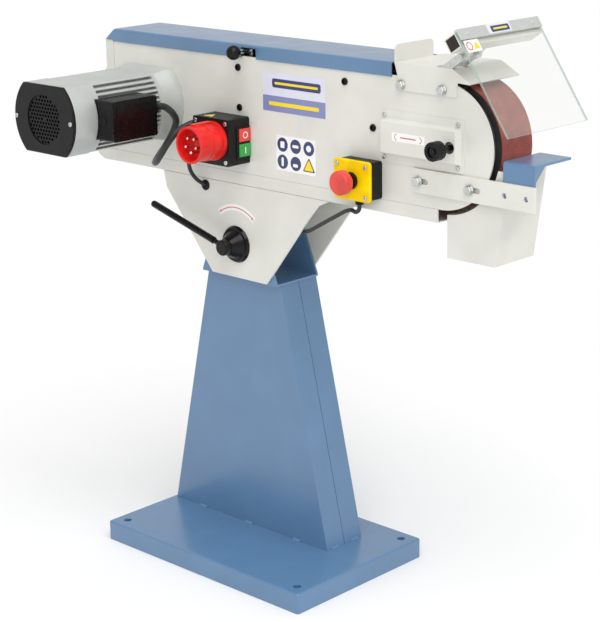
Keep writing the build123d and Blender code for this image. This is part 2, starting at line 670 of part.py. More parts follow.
def guide_rail():
    """Plate behind the front panel with the carriage guide, the spring stop and the lever's pivot pin."""
    y0 = PANEL_BACK_Y
    plate = along_y(shape_of((-40, 797), (300, 797), (300, 822), (240, 888), (-40, 888)), y0, y0 + 8)
    low = ARM_AXIS_Z - CARRIAGE_HALF
    high = ARM_AXIS_Z + CARRIAGE_HALF
    guide = block(175, 265, y0, CARRIAGE_Y1 + 6, low - 8, high + 8)
    bore_gap = RUNNING_FIT
    bore = block(170, 270, CARRIAGE_Y0 - bore_gap, CARRIAGE_Y1 + bore_gap, low - bore_gap, high + bore_gap)
    stop = block(84, 96, y0, CARRIAGE_Y1 + 3, low - 5, high + 5)
    pin = rod_y(LEVER_X, LEVER_PIVOT_Z, 5, y0 + 8, y0 + 16)
    rail = plate - block(70, 310, y0 - 1, y0 + 9, 790, high + bore_gap) + guide + stop + pin
    for x in (60, 250):
        rail += rod_y(x, 850, 7, y0 + 8, RAIL_Y0) + rod_y(x, 866, 7, RAIL_Y0 - 8, RAIL_Y0)
        rail += block(x - 7, x + 7, RAIL_Y0 - 8, RAIL_Y0, 850, 866)
    for x, z in PANEL_SCREWS:
        rail -= rod_y(x, z, BOLT_R, y0 - 1, y0 + 8)
    return rail - bore


def tension_spring():
    """Compression spring between the stop and the sliding carriage."""
    pitch = 8.5
    height = 54.0
    coil_r = 6.6
    path = Helix(pitch=pitch, height=height, radius=coil_r)
    section = Plane(origin=path @ 0, z_dir=path % 0) * Circle(1.2)
    spring = sweep(section, path=path)
    return Pos(97.5, (CARRIAGE_Y0 + CARRIAGE_Y1) / 2, ARM_AXIS_Z) * Rot(0, 90, 0) * spring


def platen():
    """Flat grinding platen under the upper belt run, on a foot fixed to the guide rail."""
    lean = radians(BELT_SLOPE)
    run = WHEEL_DISTANCE * cos(lean)
    top = Plane(origin=(CONTACT_X + CONTACT_R * sin(lean), 0, ARM_AXIS_Z + CONTACT_R * cos(lean)),
                x_dir=(-cos(lean), 0, sin(lean)), z_dir=(sin(lean), 0, cos(lean)))
    plate_length = 300.0
    start = run * 0.28
    slab = Pos(start + plate_length / 2, -BELT_MID_Y, -4) * Box(plate_length, BELT_WIDTH, 8)
    plate = top.location * slab
    foot = block(80, 160, PANEL_BACK_Y + 8, BELT_Y0 + 20, 868, 895)
    return plate + (foot - block(0, 400, BELT_Y0, 200, 0, 888))


# --- Motor ------------------------------------------------------------------------------------------------

def motor_profile(radius, half):
    """Round section with a flat at the top and at the bottom."""
    disc = Pos(DRIVE_X, ARM_AXIS_Z) * Circle(radius)
    return disc & Pos(DRIVE_X, ARM_AXIS_Z) * Rectangle(2 * radius + 2, 2 * half)


def motor_end_shield():
    """Drive end shield with its mounting flange, spigot and shaft bore."""
    flange_y = ARM_FRONT_Y - MOTOR_FLANGE_THICK
    wide = motor_profile(MOTOR_FLANGE_R, MOTOR_FLANGE_HALF)
    shield = along_y(wide, flange_y, ARM_FRONT_Y)
    near = Plane(origin=(0, MOTOR_SHIELD_END_Y, 0), x_dir=(1, 0, 0), z_dir=(0, -1, 0))
    far = Plane(origin=(0, flange_y, 0), x_dir=(1, 0, 0), z_dir=(0, -1, 0))
    shield += loft([far * wide, near * motor_profile(MOTOR_BODY_R, MOTOR_FLAT_HALF)])
    shield += rod_y(DRIVE_X, ARM_AXIS_Z, MOTOR_SPIGOT_R, ARM_FRONT_Y, PANEL_BACK_Y)
    return shield - rod_y(DRIVE_X, ARM_AXIS_Z, SHAFT_R + RUNNING_FIT, -60, 0)


def motor_body():
    """Extruded motor housing with cooling fins on its sides, flat at the top and bottom."""
    body = along_y(motor_profile(MOTOR_BODY_R, MOTOR_FLAT_HALF), MOTOR_BODY_END_Y, MOTOR_SHIELD_END_Y)
    rows = int((MOTOR_FLAT_HALF - FIN_SLOT / 2) / FIN_PITCH + 0.5)
    for row in range(-rows, rows):
        z = (row + 0.5) * FIN_PITCH
        reach = sqrt(MOTOR_BODY_R ** 2 - z ** 2)
        for side in (-1, 1):
            inner = DRIVE_X + side * (reach - FIN_DEPTH)
            outer = DRIVE_X + side * (MOTOR_BODY_R + 2)
            body -= block(min(inner, outer), max(inner, outer), MOTOR_BODY_END_Y + 12, MOTOR_SHIELD_END_Y - 8,
                          ARM_AXIS_Z + z - FIN_SLOT / 2, ARM_AXIS_Z + z + FIN_SLOT / 2)
    half = TERMINAL_HALF_HEIGHT
    body -= block(TERMINAL_X0, 0, TERMINAL_Y0, TERMINAL_Y1, ARM_AXIS_Z - half, ARM_AXIS_Z + half)
    body -= rod_y(DRIVE_X, ARM_AXIS_Z, ROTOR_R + 1, MOTOR_BODY_END_Y + 10, MOTOR_SHIELD_END_Y + 1)
    return body - rod_y(DRIVE_X, ARM_AXIS_Z, SHAFT_R + RUNNING_FIT, MOTOR_BODY_END_Y - 1, MOTOR_SHIELD_END_Y)


def motor_shaft():
    """Shaft with the rotor, long enough to carry the fan and the drive wheel."""
    shaft = rod_y(DRIVE_X, ARM_AXIS_Z, SHAFT_R, -240, BELT_Y1 + 3)
    rotor = rod_y(DRIVE_X, ARM_AXIS_Z, ROTOR_R, MOTOR_BODY_END_Y + 15, MOTOR_SHIELD_END_Y - 5)
    return shaft + rotor


def motor_fan():
    """Radial cooling fan on the back end of the shaft."""
    hub = rod_y(DRIVE_X, ARM_AXIS_Z, 20, -238, -210) + rod_y(DRIVE_X, ARM_AXIS_Z, 54, -213, -210)
    for index in range(9):
        blade = block(DRIVE_X + 18, DRIVE_X + 54, -236, -211, ARM_AXIS_Z - 1.5, ARM_AXIS_Z + 1.5)
        turn = Pos(DRIVE_X, 0, ARM_AXIS_Z) * Rot(0, 40 * index, 0) * Pos(-DRIVE_X, 0, -ARM_AXIS_Z)
        hub += turn * blade
    return hub - rod_y(DRIVE_X, ARM_AXIS_Z, SHAFT_R, -300, -200)


def fan_cover():
    """Sheet cover round the fan."""
    flat = MOTOR_FLAT_HALF + 1
    cover = along_y(motor_profile(FAN_COVER_R, flat), FAN_COVER_END_Y, MOTOR_BODY_END_Y)
    inner = motor_profile(FAN_COVER_R - FAN_COVER_SHEET, flat - FAN_COVER_SHEET)
    return cover - along_y(inner, FAN_COVER_END_Y - 1, MOTOR_BODY_END_Y + 1)


def fan_end_cap():
    """Moulded end cap with a round grille of small holes."""
    cap = along_y(motor_profile(FAN_COVER_R, MOTOR_FLAT_HALF + 1), FAN_CAP_END_Y, FAN_COVER_END_Y)
    cap = chamfer(cap.edges().group_by(Axis.Y)[0], 1.5)
    cap -= rod_y(DRIVE_X, ARM_AXIS_Z, GRILLE_R + 1, FAN_CAP_END_Y - 1, FAN_CAP_END_Y + GRILLE_DISH)
    row_step = GRILLE_PITCH * sqrt(3) / 2
    rows = int(GRILLE_R / row_step)
    for row in range(-rows, rows + 1):
        shift = GRILLE_PITCH / 2 * (row % 2)
        for column in range(-rows - 1, rows + 2):
            x = column * GRILLE_PITCH + shift
            z = row * row_step
            if 5 < sqrt(x * x + z * z) < GRILLE_R - GRILLE_HOLE_R:
                cap -= rod_y(DRIVE_X + x, ARM_AXIS_Z + z, GRILLE_HOLE_R, FAN_CAP_END_Y - 1, FAN_COVER_END_Y + 1)
    return cap


def terminal_box():
    """Terminal box on the side of the motor, open towards its lid, with a blanked cable entry."""
    half = TERMINAL_HALF_HEIGHT
    box = block(TERMINAL_X0, TERMINAL_LID_X, TERMINAL_Y0, TERMINAL_Y1, ARM_AXIS_Z - half, ARM_AXIS_Z + half)
    box = fillet(box.edges().filter_by(Axis.X), 4)
    box -= block(TERMINAL_X0 + BOX_WALL, TERMINAL_LID_X + 1, TERMINAL_Y0 + BOX_WALL, TERMINAL_Y1 - BOX_WALL,
                 ARM_AXIS_Z - half + BOX_WALL, ARM_AXIS_Z + half - BOX_WALL)
    blank_x = (TERMINAL_X0 + TERMINAL_LID_X) / 2
    blank = rod_y(blank_x, ARM_AXIS_Z, 9, TERMINAL_Y0 - 1.2, TERMINAL_Y0)
    return box + blank - rod_y(blank_x, ARM_AXIS_Z, 6.5, TERMINAL_Y0 - 2, TERMINAL_Y0 - 0.6)


def terminal_box_lid():
    """Flat lid of the terminal box, with a raised middle and its four screws."""
    half = TERMINAL_HALF_HEIGHT
    x1 = TERMINAL_LID_X + TERMINAL_LID_THICK
    lid = block(TERMINAL_LID_X, x1, TERMINAL_Y0, TERMINAL_Y1, ARM_AXIS_Z - half, ARM_AXIS_Z + half)
    lid = fillet(lid.edges().filter_by(Axis.X), 4)
    raised = block(x1, x1 + 1.5, TERMINAL_Y0 + 9, TERMINAL_Y1 - 9, ARM_AXIS_Z - half + 3, ARM_AXIS_Z + half - 3)
    lid += fillet(raised.edges().filter_by(Axis.X), 5)
    for y in (TERMINAL_Y0 + 5, TERMINAL_Y1 - 5):
        for z in (ARM_AXIS_Z - half + 5, ARM_AXIS_Z + half - 5):
            lid += rod_x(y, z, PAN_HEAD_R, x1 - 1, x1 + 2)
            lid -= block(x1 + 1, x1 + 3, y - 2.5, y + 2.5, z - 0.5, z + 0.5)
    return lid


# --- Electrics --------------------------------------------------------------------------------------------

def button_hole(z, gap):
    """Rectangular opening for a push button, wider than the button by gap on every side."""
    half_y = BUTTON_LENGTH / 2 + gap
    half_z = BUTTON_HEIGHT / 2 + gap
    return block(-20, 20, BUTTON_Y - half_y, BUTTON_Y + half_y, z - half_z, z + half_z)


def switch_box():
    """Switch housing with a raised frame round the two push buttons."""
    box = block(SWITCH_X0, SWITCH_X1, SWITCH_FRONT_Y, ARM_FRONT_Y, SWITCH_Z0, SWITCH_Z1)
    box = fillet(box.edges().filter_by(Axis.Y), 4)
    box -= block(SWITCH_X0 + BOX_WALL, SWITCH_X1 - BOX_WALL, SWITCH_FRONT_Y + BOX_WALL, ARM_FRONT_Y + 1,
                 SWITCH_Z0 + BOX_WALL, SWITCH_Z1 - BOX_WALL)
    middle = (STOP_BUTTON_Z + START_BUTTON_Z) / 2
    frame = block(SWITCH_X1, SWITCH_X1 + 2, BUTTON_Y - 18, BUTTON_Y + 12.9, middle - 28, middle + 28)
    box += fillet(frame.edges().filter_by(Axis.X), 3)
    for z in (STOP_BUTTON_Z, START_BUTTON_Z):
        box -= button_hole(z, BODY_GAP) & block(-5, 5, -100, 0, 700, 800)
    return box


def push_button(z):
    """Rectangular push button with a rounded face."""
    button = button_hole(z, 0) & block(-8, BUTTON_STAND_OUT, -100, 0, 700, 800)
    return fillet(button.faces().sort_by(Axis.X)[-1].edges(), 1.2)


def cee_inlet():
    """Round shroud of the mains inlet, with its keyway, on a collar."""
    inlet = rod_y(INLET_X, INLET_Z, INLET_R + 3, -70, SWITCH_FRONT_Y)
    inlet += rod_y(INLET_X, INLET_Z, INLET_R, INLET_MOUTH_Y, -70)
    inlet += rod_y(INLET_X, INLET_Z, INLET_R + 1.2, INLET_MOUTH_Y, INLET_MOUTH_Y + 5)
    inlet += rod_y(INLET_X, INLET_Z, INLET_R + 1.2, -90, -86)
    inlet += block(INLET_X - 5, INLET_X + 5, -112, -70, INLET_Z + INLET_R - 2, INLET_Z + INLET_R + 4)
    inlet -= rod_y(INLET_X, INLET_Z, INLET_R - INLET_WALL, INLET_MOUTH_Y - 1, INLET_FLOOR_Y)
    for x, z, radius in pin_places():
        inlet -= rod_y(x, z, radius, INLET_FLOOR_Y - 1, INLET_FLOOR_Y + 6)
    return inlet


def pin_places():
    """Centre and radius of each of the five contact pins; the earth pin is thicker."""
    places = []
    for index in range(5):
        turn = radians(-90 + 72 * index)
        radius = PIN_R + (0.5 if index == 0 else 0)
        places.append((INLET_X + PIN_CIRCLE_R * cos(turn), INLET_Z + PIN_CIRCLE_R * sin(turn), radius))
    return places


def cee_pins():
    """Five contact pins, seated in the inlet's floor."""
    pins = []
    for x, z, radius in pin_places():
        pin = rod_y(x, z, radius, PIN_TIP_Y, INLET_FLOOR_Y + 6)
        pins.append(fillet(pin.edges().group_by(Axis.Y)[0], radius * 0.6))
    return group(*pins)


def estop_block(grow, y0, y1):
    """Block with the emergency stop's outline, larger by grow on every side."""
    half_x = ESTOP_WIDTH / 2 + grow
    half_z = ESTOP_HEIGHT / 2 + grow
    return block(ESTOP_X - half_x, ESTOP_X + half_x, y0, y1, ESTOP_Z - half_z, ESTOP_Z + half_z)


def estop_box():
    """Base of the emergency stop box."""
    box = estop_block(0, ESTOP_BASE_Y, ARM_FRONT_Y)
    return fillet(box.edges().filter_by(Axis.Y), 5) - estop_block(-BOX_WALL, ESTOP_BASE_Y - 1, ARM_FRONT_Y - BOX_WALL)


def estop_plate():
    """Front plate of the emergency stop with the black collar's seat."""
    y0 = ESTOP_BASE_Y - ESTOP_PLATE
    plate = estop_block(ESTOP_PLATE_LAP, y0, ESTOP_BASE_Y)
    plate = fillet(plate.edges().filter_by(Axis.Y), 6)
    plate = fillet(plate.edges().group_by(Axis.Y)[0], 2.5)
    return plate - rod_y(ESTOP_X, ESTOP_Z, ESTOP_STEM_R + BODY_GAP + 2, y0 - 1, ESTOP_BASE_Y + 1)


def estop_collar():
    """Collar in the front plate that guides the mushroom's stem."""
    y0 = ESTOP_BASE_Y - ESTOP_PLATE
    collar = rod_y(ESTOP_X, ESTOP_Z, ESTOP_COLLAR_R, y0 - 6, y0)
    collar += rod_y(ESTOP_X, ESTOP_Z, ESTOP_STEM_R + BODY_GAP + 2, y0, ESTOP_BASE_Y + 4)
    return collar - rod_y(ESTOP_X, ESTOP_Z, ESTOP_STEM_R + BODY_GAP, y0 - 8, ESTOP_BASE_Y + 5)


def estop_mushroom():
    """Mushroom head on its stem."""
    head = rod_y(ESTOP_X, ESTOP_Z, ESTOP_HEAD_R, ESTOP_HEAD_Y0, ESTOP_HEAD_Y1)
    head = fillet(head.edges().group_by(Axis.Y)[0], 5)
    head = fillet(head.edges().group_by(Axis.Y)[-1], 2)
    return head + rod_y(ESTOP_X, ESTOP_Z, ESTOP_STEM_R, ESTOP_HEAD_Y1, ESTOP_BASE_Y + 4)


# --- Cables -----------------------------------------------------------------------------------------------

GROMMET = (-111.5, 660.5)
GROMMET_R = 6.5
MOTOR_CABLE_R = 6.0
CONTROL_CABLE_R = 3.5
MOTOR_GLAND = (-150.0, 804.0)
MOTOR_GLAND_END_Y = TERMINAL_Y1 + 14
SWITCH_GLAND_Y = -37.0
SWITCH_GLAND_X = SWITCH_X0 - 12
MOTOR_ENTRY_Z = 774.0
CONTROL_ENTRY_Z = 728.0
ESTOP_GLAND = (262.0, -26.0)
ESTOP_GLAND_Z = ESTOP_Z - ESTOP_HEIGHT / 2 - 11

MOTOR_ROUTE = [(-150, -90, 804), (-150, -70, 804), (-142, -58, 792), (-141, -49, 777), (-154, -45, 756),
               (-175, -44, 730), (-193, -47, 707), (-192, -58, 697), (-173, -72, 702), (-151, -82, 718),
               (-131, -83, 741), (-122, -72, 760), (-118, -54, 768), (-113, -37, 774), (-98, -37, 774)]
CONTROL_ROUTE = [(-98, -37, 728), (-113, -37, 727), (-125, -36, 717), (-131, -34, 701), (-130, -31, 686),
                 (-122, -26, 672), (-113.5, -17, 663), (-110.5, -6, 659), (-103, 4, 654), (-82, 9, 649),
                 (-46, 9.5, 643), (-6, 10, 636), (34, 9.5, 626), (68, 7, 614), (95, 3.5, 606), (124, -1.5, 611),
                 (180, -12.5, 641), (228, -22, 666), (243, -25, 671), (254, -26, 668), (261, -26, 673),
                 (262, -26, 683)]


def cable(route, radius, label):
    """Round cable along straight runs joined by tangent arcs as large as the runs allow."""
    points = [Vector(*point) for point in route]
    radii = []
    for before, here, after in zip(points, points[1:], points[2:]):
        shorter = min((here - before).length, (after - here).length)
        turn = (here - before).get_angle(after - here)
        radii.append(0.45 * shorter / tan(radians(turn) / 2))
    print(label, "radii", [round(value, 1) for value in radii])
    path = FilletPolyline(*points, radius=radii)
    section = Plane(origin=points[0], z_dir=points[1] - points[0]) * Circle(radius)
    tube = sweep(section, path=path)
    print(label, "length", round(path.length, 1), "volume ratio", tube.volume / (pi * radius ** 2 * path.length))
    return tube


def cable_glands():
    """Cable glands of the terminal box, switch box and emergency stop, and the bracket's grommet."""
    gland_x, gland_z = MOTOR_GLAND
    motor = along_y(Pos(gland_x, gland_z) * RegularPolygon(12, 6), TERMINAL_Y1, TERMINAL_Y1 + 6)
    motor += rod_y(gland_x, gland_z, 9.5, TERMINAL_Y1 + 6, MOTOR_GLAND_END_Y)
    parts = [motor]
    for z, radius in ((MOTOR_ENTRY_Z, 9.5), (CONTROL_ENTRY_Z, 7)):
        entry = along_x(Pos(SWITCH_GLAND_Y, z) * RegularPolygon(radius + 2, 6), SWITCH_X0 - 5, SWITCH_X0)
        parts.append(entry + rod_x(SWITCH_GLAND_Y, z, radius, SWITCH_GLAND_X, SWITCH_X0 - 5))
    stop_x, stop_y = ESTOP_GLAND
    top = ESTOP_Z - ESTOP_HEIGHT / 2
    stop = rod_z(stop_x, stop_y, 7, ESTOP_GLAND_Z, top - 5) + rod_z(stop_x, stop_y, 9, top - 5, top)
    grommet_x, grommet_z = GROMMET
    y0 = ARM_FRONT_Y - 2
    grommet = rod_y(grommet_x, grommet_z, GROMMET_R, y0, ARM_FRONT_Y + BRACKET_SHEET)
    grommet += rod_y(grommet_x, grommet_z, GROMMET_R + 3, y0, ARM_FRONT_Y)
    grommet -= rod_y(grommet_x, grommet_z, CONTROL_CABLE_R + 1.4, y0 - 1, 0)
    return group(*parts, stop, grommet)


# --- Work area --------------------------------------------------------------------------------------------

def wheel_guard():
    """Folded guard over the contact wheel, with a drooping lip and an upright tab at its left end."""
    z1 = GUARD_TOP_Z
    y0 = GUARD_FRONT_Y
    sheet = GUARD_SHEET
    skin = shape_of((326, z1), (440, z1), (476, 897), (474, 895), (439, z1 - sheet), (326, z1 - sheet))
    guard = along_y(skin, y0, GUARD_BACK_Y)
    cheek = shape_of((325, z1), (338, 873.5), (449, 873.5), (449.5, 896), (474, 895), (476, 897), (440, z1))
    guard += along_y(cheek, y0, ARM_FRONT_Y)
    back = shape_of((330, z1), (330, 903), (449, 903), (462, 900), (474, 896), (440, z1))
    guard += along_y(back, GUARD_BACK_Y - sheet, GUARD_BACK_Y)
    tab = block(325, 325 + sheet, y0, 78, z1 - sheet, 944)
    guard += fillet(tab.edges().filter_by(Axis.X).group_by(Axis.Z)[-1], 8)
    for x, z in GUARD_BOLTS:
        guard -= rod_y(x, z, BOLT_R, y0 - 1, ARM_FRONT_Y + 1)
    return guard


SHIELD_PLACE = Pos(SHIELD_BAR_X, BELT_MID_Y, SHIELD_BAR_Z) * Rot(0, -SHIELD_TILT, 0)
SHIELD_LUG_YS = (GUARD_FRONT_Y, GUARD_FRONT_Y + 30)


def shield_bar():
    """Square tube that carries the spark shield, with the two moving hinge lugs."""
    half = SHIELD_BAR / 2
    outer = Box(SHIELD_BAR, SHIELD_WIDTH, SHIELD_BAR)
    bar = SHIELD_PLACE * (outer - Box(SHIELD_BAR - 4, SHIELD_WIDTH + 2, SHIELD_BAR - 4))
    lug_shape = shape_of((SHIELD_PIN_X - 5, SHIELD_PIN_Z), (SHIELD_PIN_X + 5, SHIELD_PIN_Z - 2),
                         (SHIELD_BAR_X + 6, SHIELD_BAR_Z - half), (SHIELD_BAR_X - 12, SHIELD_BAR_Z - 2))
    hollow = SHIELD_PLACE * Box(SHIELD_BAR - 3, SHIELD_WIDTH, SHIELD_BAR - 3)
    for y0 in SHIELD_LUG_YS:
        low = y0 + SHIELD_LUG + BODY_GAP
        lug = along_y(lug_shape + Pos(SHIELD_PIN_X, SHIELD_PIN_Z) * Circle(6), low, low + SHIELD_LUG)
        bar += lug - hollow
        bar -= rod_y(SHIELD_PIN_X, SHIELD_PIN_Z, SHIELD_PIN_R + RUNNING_FIT, low - 1, low + SHIELD_LUG + 1)
    return bar


def shield_hinge():
    """Fixed hinge lugs on the guard with their pin bolts and nuts."""
    pieces = []
    for y0 in SHIELD_LUG_YS:
        lug_shape = shape_of((416, GUARD_TOP_Z), (440, GUARD_TOP_Z), (SHIELD_PIN_X + 5, SHIELD_PIN_Z - 3),
                             (SHIELD_PIN_X - 4, SHIELD_PIN_Z + 5))
        lug = along_y(lug_shape + Pos(SHIELD_PIN_X, SHIELD_PIN_Z) * Circle(7), y0, y0 + SHIELD_LUG)
        lug += block(410, 440, y0, y0 + SHIELD_LUG + 8, GUARD_TOP_Z, GUARD_TOP_Z + 2)
        y1 = y0 + 2 * SHIELD_LUG + 2 * BODY_GAP
        lug += rod_y(SHIELD_PIN_X, SHIELD_PIN_Z, SHIELD_PIN_R, y0 - 2, y1 + 7)
        place = Pos(SHIELD_PIN_X, SHIELD_PIN_Z)
        lug += along_y(place * RegularPolygon(5.5, 6), y0 - 4, y0)
        nut = along_y(place * RegularPolygon(5.5, 6), y1, y1 + 5)
        pieces.append(lug + nut)
    return group(*pieces)


def shield_glass():
    """Clear plate of the spark shield."""
    half = SHIELD_BAR / 2
    height = SHIELD_TOP - SHIELD_BOTTOM
    middle = (SHIELD_TOP + SHIELD_BOTTOM) / 2
    return SHIELD_PLACE * Pos(half + SHIELD_THICK / 2, 0, middle) * Box(SHIELD_THICK, SHIELD_WIDTH, height)


def shield_strip():
    """Clamping strip over the top of the clear plate, and its two screws."""
    outer_x = SHIELD_BAR / 2 + SHIELD_THICK
    strip = SHIELD_PLACE * Pos(outer_x + 1.25, 0, SHIELD_TOP - 9) * Box(2.5, SHIELD_WIDTH, 18)
    screws = []
    for y in (-SHIELD_WIDTH / 2 + 20, SHIELD_WIDTH / 2 - 20):
        head = Pos(outer_x + 2.5, y, SHIELD_TOP - 9) * Rot(0, 90, 0) * Cone(4, 2.6, 2, align=(Align.CENTER,
                                                                                             Align.CENTER,
                                                                                             Align.MIN))
        screws.append(SHIELD_PLACE * head)
    return group(strip, *screws)


def rest_hole_xs():
    """Centres of the two holes shared by the bar and the table."""
    return (REST_TABLE_X0 + REST_HOLE_INSETS[0], REST_TABLE_X1 - REST_HOLE_INSETS[1])


def tool_rest_bar():
    """Sliding support bar with two slots and two spare holes."""
    bar = block(REST_BAR_X0, REST_BAR_X1, REST_BAR_Y0, REST_BAR_Y1, REST_BAR_Z0, REST_BAR_Z1)
    y0 = REST_BAR_Y0 - 1
    y1 = REST_BAR_Y1 + 1
    slot_r = BOLT_R + BODY_GAP
    for x in REST_BOLT_XS:
        bar -= rod_y(x, REST_BOLT_Z, slot_r, y0, y1) + rod_y(x + REST_SLOT_TRAVEL, REST_BOLT_Z, slot_r, y0, y1)
        bar -= block(x, x + REST_SLOT_TRAVEL, y0, y1, REST_BOLT_Z - slot_r, REST_BOLT_Z + slot_r)
    for x in rest_hole_xs():
        bar -= rod_y(x, REST_BOLT_Z, REST_HOLE_R, y0, y1)
    return bar


def tool_rest_table():
    """Angle-shaped work table in front of the belt, with a small gusset."""
    y0 = REST_BAR_Y1
    flange = block(REST_TABLE_X0, REST_TABLE_X1, y0, y0 + REST_SHEET, REST_BAR_Z0 + 4, REST_TABLE_Z)
    for x in rest_hole_xs():
        flange -= rod_y(x, REST_BOLT_Z, REST_HOLE_R, y0 - 1, y0 + REST_SHEET + 1)
    low = REST_TABLE_Z - REST_SHEET
    table = flange + block(REST_TABLE_X0, REST_TABLE_X1, y0, REST_TABLE_BACK_Y, low, REST_TABLE_Z)
    bend = [edge for edge in table.edges().filter_by(Axis.X)
            if edge.center().Z > REST_TABLE_Z - 0.1 and edge.center().Y < y0 + 0.1]
    table = fillet(bend, REST_SHEET)
    gusset = shape_of((y0 + REST_SHEET, low), (y0 + REST_SHEET + 22, low), (y0 + REST_SHEET, low - 22))
    return table + along_x(gusset, REST_TABLE_X1 - REST_SHEET, REST_TABLE_X1)


def dust_outline(inset):
    """Dust box seen from the front: flat floor, leaning right side."""
    top = DUST_TOP_Z + (5 if inset else 0)
    lean = 22 / (DUST_TOP_Z - DUST_Z0)
    right_top = 542 - inset + (5 * lean if inset else 0)
    return shape_of((427 + inset, DUST_Z0 + inset), (520 - inset, DUST_Z0 + inset), (right_top, top),
                    (425 + inset, top))


def dust_box():
    """Dust box that hangs below the contact wheel, cut out round the belt and open at the top."""
    box = along_y(dust_outline(0), DUST_Y0, DUST_Y1)
    box -= along_y(dust_outline(DUST_SHEET), DUST_Y0 + DUST_SHEET, DUST_Y1 - DUST_SHEET)
    return box - rod_y(CONTACT_X, ARM_AXIS_Z, DUST_ARC_R, DUST_Y0 - 1, DUST_Y1 + 1)


# --- Controls ---------------------------------------------------------------------------------------------

def tracking_cover():
    """Pressed cover over the tracking mechanism, with a hole for the adjusting screw."""
    plate = block(TRACK_X0, TRACK_X1, ARM_FRONT_Y - 1.5, ARM_FRONT_Y, TRACK_Z0, TRACK_Z1)
    plate = fillet(plate.edges().filter_by(Axis.Y), 4)
    x_mid = (TRACK_X0 + TRACK_X1) / 2
    z_mid = (TRACK_Z0 + TRACK_Z1) / 2
    width = TRACK_X1 - TRACK_X0 - 10
    height = TRACK_Z1 - TRACK_Z0 - 24
    raised = track_bulge(x_mid, z_mid, width, height, 0)
    hollow = track_bulge(x_mid, z_mid, width - 3, height - 3, 1.5)
    cover = plate + raised - hollow
    return cover - rod_y(TRACK_KNOB_X, TRACK_KNOB_Z, 9.5, ARM_FRONT_Y - 40, ARM_FRONT_Y + 1)


def track_bulge(x, z, width, height, short):
    """Bevelled raised block, lower than the full depth by short."""
    depth = TRACK_DEPTH - short
    wide = Plane(origin=(x, ARM_FRONT_Y, z), x_dir=(1, 0, 0), z_dir=(0, -1, 0)) * Rectangle(width, height)
    near = Plane(origin=(x, ARM_FRONT_Y - depth, z), x_dir=(1, 0, 0), z_dir=(0, -1, 0))
    return loft([wide, near * Rectangle(width - 10, height - 10)])


def tracking_knob():
    """Knurled tracking knob on its screw."""
    knob = rod_y(TRACK_KNOB_X, TRACK_KNOB_Z, TRACK_KNOB_R, -66, -48)
    for index in range(24):
        turn = 2 * pi * index / 24
        x = TRACK_KNOB_X + (TRACK_KNOB_R + 0.4) * cos(turn)
        z = TRACK_KNOB_Z + (TRACK_KNOB_R + 0.4) * sin(turn)
        knob -= rod_y(x, z, 1.2, -67, -47)
    knob -= rod_y(TRACK_KNOB_X, TRACK_KNOB_Z, 9, -67, -63)
    knob += rod_y(TRACK_KNOB_X, TRACK_KNOB_Z, 5, -65, -63)
    knob += rod_y(TRACK_KNOB_X, TRACK_KNOB_Z, 7.5, -48, -42)
    return knob + rod_y(TRACK_KNOB_X, TRACK_KNOB_Z, 5, -42, PANEL_BACK_Y)


def tension_lever():
    """Belt tension lever: an arm on a pin inside the casing and a rod that comes out under the cover."""
    y0 = PANEL_BACK_Y + 8 + BODY_GAP
    y1 = y0 + 5
    arm = block(LEVER_X - 7, LEVER_X + 7, y0, y1, LEVER_PIVOT_Z, LEVER_ROD_Z)
    arm += rod_y(LEVER_X, LEVER_PIVOT_Z, 11, y0, y1) + rod_y(LEVER_X, LEVER_ROD_Z, 7, y0, y1)
    arm -= rod_y(LEVER_X, LEVER_PIVOT_Z, 5 + RUNNING_FIT, y0 - 1, y1 + 1)
    return arm + rod_y(LEVER_X, LEVER_ROD_Z, LEVER_ROD_R, -34, y0)


def tension_knob():
    """Ball knob on the tension lever's rod."""
    ball = Pos(LEVER_X, -38, LEVER_ROD_Z) * Sphere(KNOB_BALL_R)
    return ball - rod_y(LEVER_X, LEVER_ROD_Z, LEVER_ROD_R, -34, 0)


# --- Fasteners --------------------------------------------------------------------------------------------

def hex_bolt(x, z, seat_y):
    """Hexagon bolt with its washer, seated at seat_y and reaching through the front panel."""
    washer = rod_y(x, z, WASHER_R, seat_y - WASHER_THICK, seat_y)
    head_y = seat_y - WASHER_THICK
    head = along_y(Pos(x, z) * RegularPolygon(HEX_HEAD_R, 6), head_y - HEX_HEAD_H, head_y)
    head = chamfer(head.edges().group_by(Axis.Y)[0], 0.8)
    return washer + head + rod_y(x, z, BOLT_R, seat_y, PANEL_BACK_Y + 4)


def hex_bolts():
    """Two bolts of the wheel guard and two of the tool rest."""
    bolts = [hex_bolt(x, z, GUARD_FRONT_Y) for x, z in GUARD_BOLTS]
    bolts += [hex_bolt(x, REST_BOLT_Z, REST_BAR_Y0 - BODY_GAP) for x in REST_BOLT_XS]
    return group(*bolts)


def panel_screws():
    """Socket head screws that hold the guide rail to the front panel."""
    screws = []
    for x, z in PANEL_SCREWS:
        head = rod_y(x, z, SOCKET_HEAD_R, ARM_FRONT_Y - 3, ARM_FRONT_Y)
        head = fillet(head.edges().group_by(Axis.Y)[0], 1.5)
        head -= along_y(Pos(x, z) * RegularPolygon(3, 6), ARM_FRONT_Y - 4, ARM_FRONT_Y - 0.8)
        screws.append(head + rod_y(x, z, BOLT_R, ARM_FRONT_Y, PANEL_BACK_Y + 7))
    return group(*screws)


def pan_head(x, z, seat_y):
    """Domed screw head with a cross recess, facing -Y."""
    head = rod_y(x, z, PAN_HEAD_R, seat_y - 2.4, seat_y)
    head = fillet(head.edges().group_by(Axis.Y)[0], 1.2)
    cross = block(x - 2, x + 2, seat_y - 3, seat_y - 1.2, z - 0.4, z + 0.4)
    cross += block(x - 0.4, x + 0.4, seat_y - 3, seat_y - 1.2, z - 2, z + 2)
    return head - cross


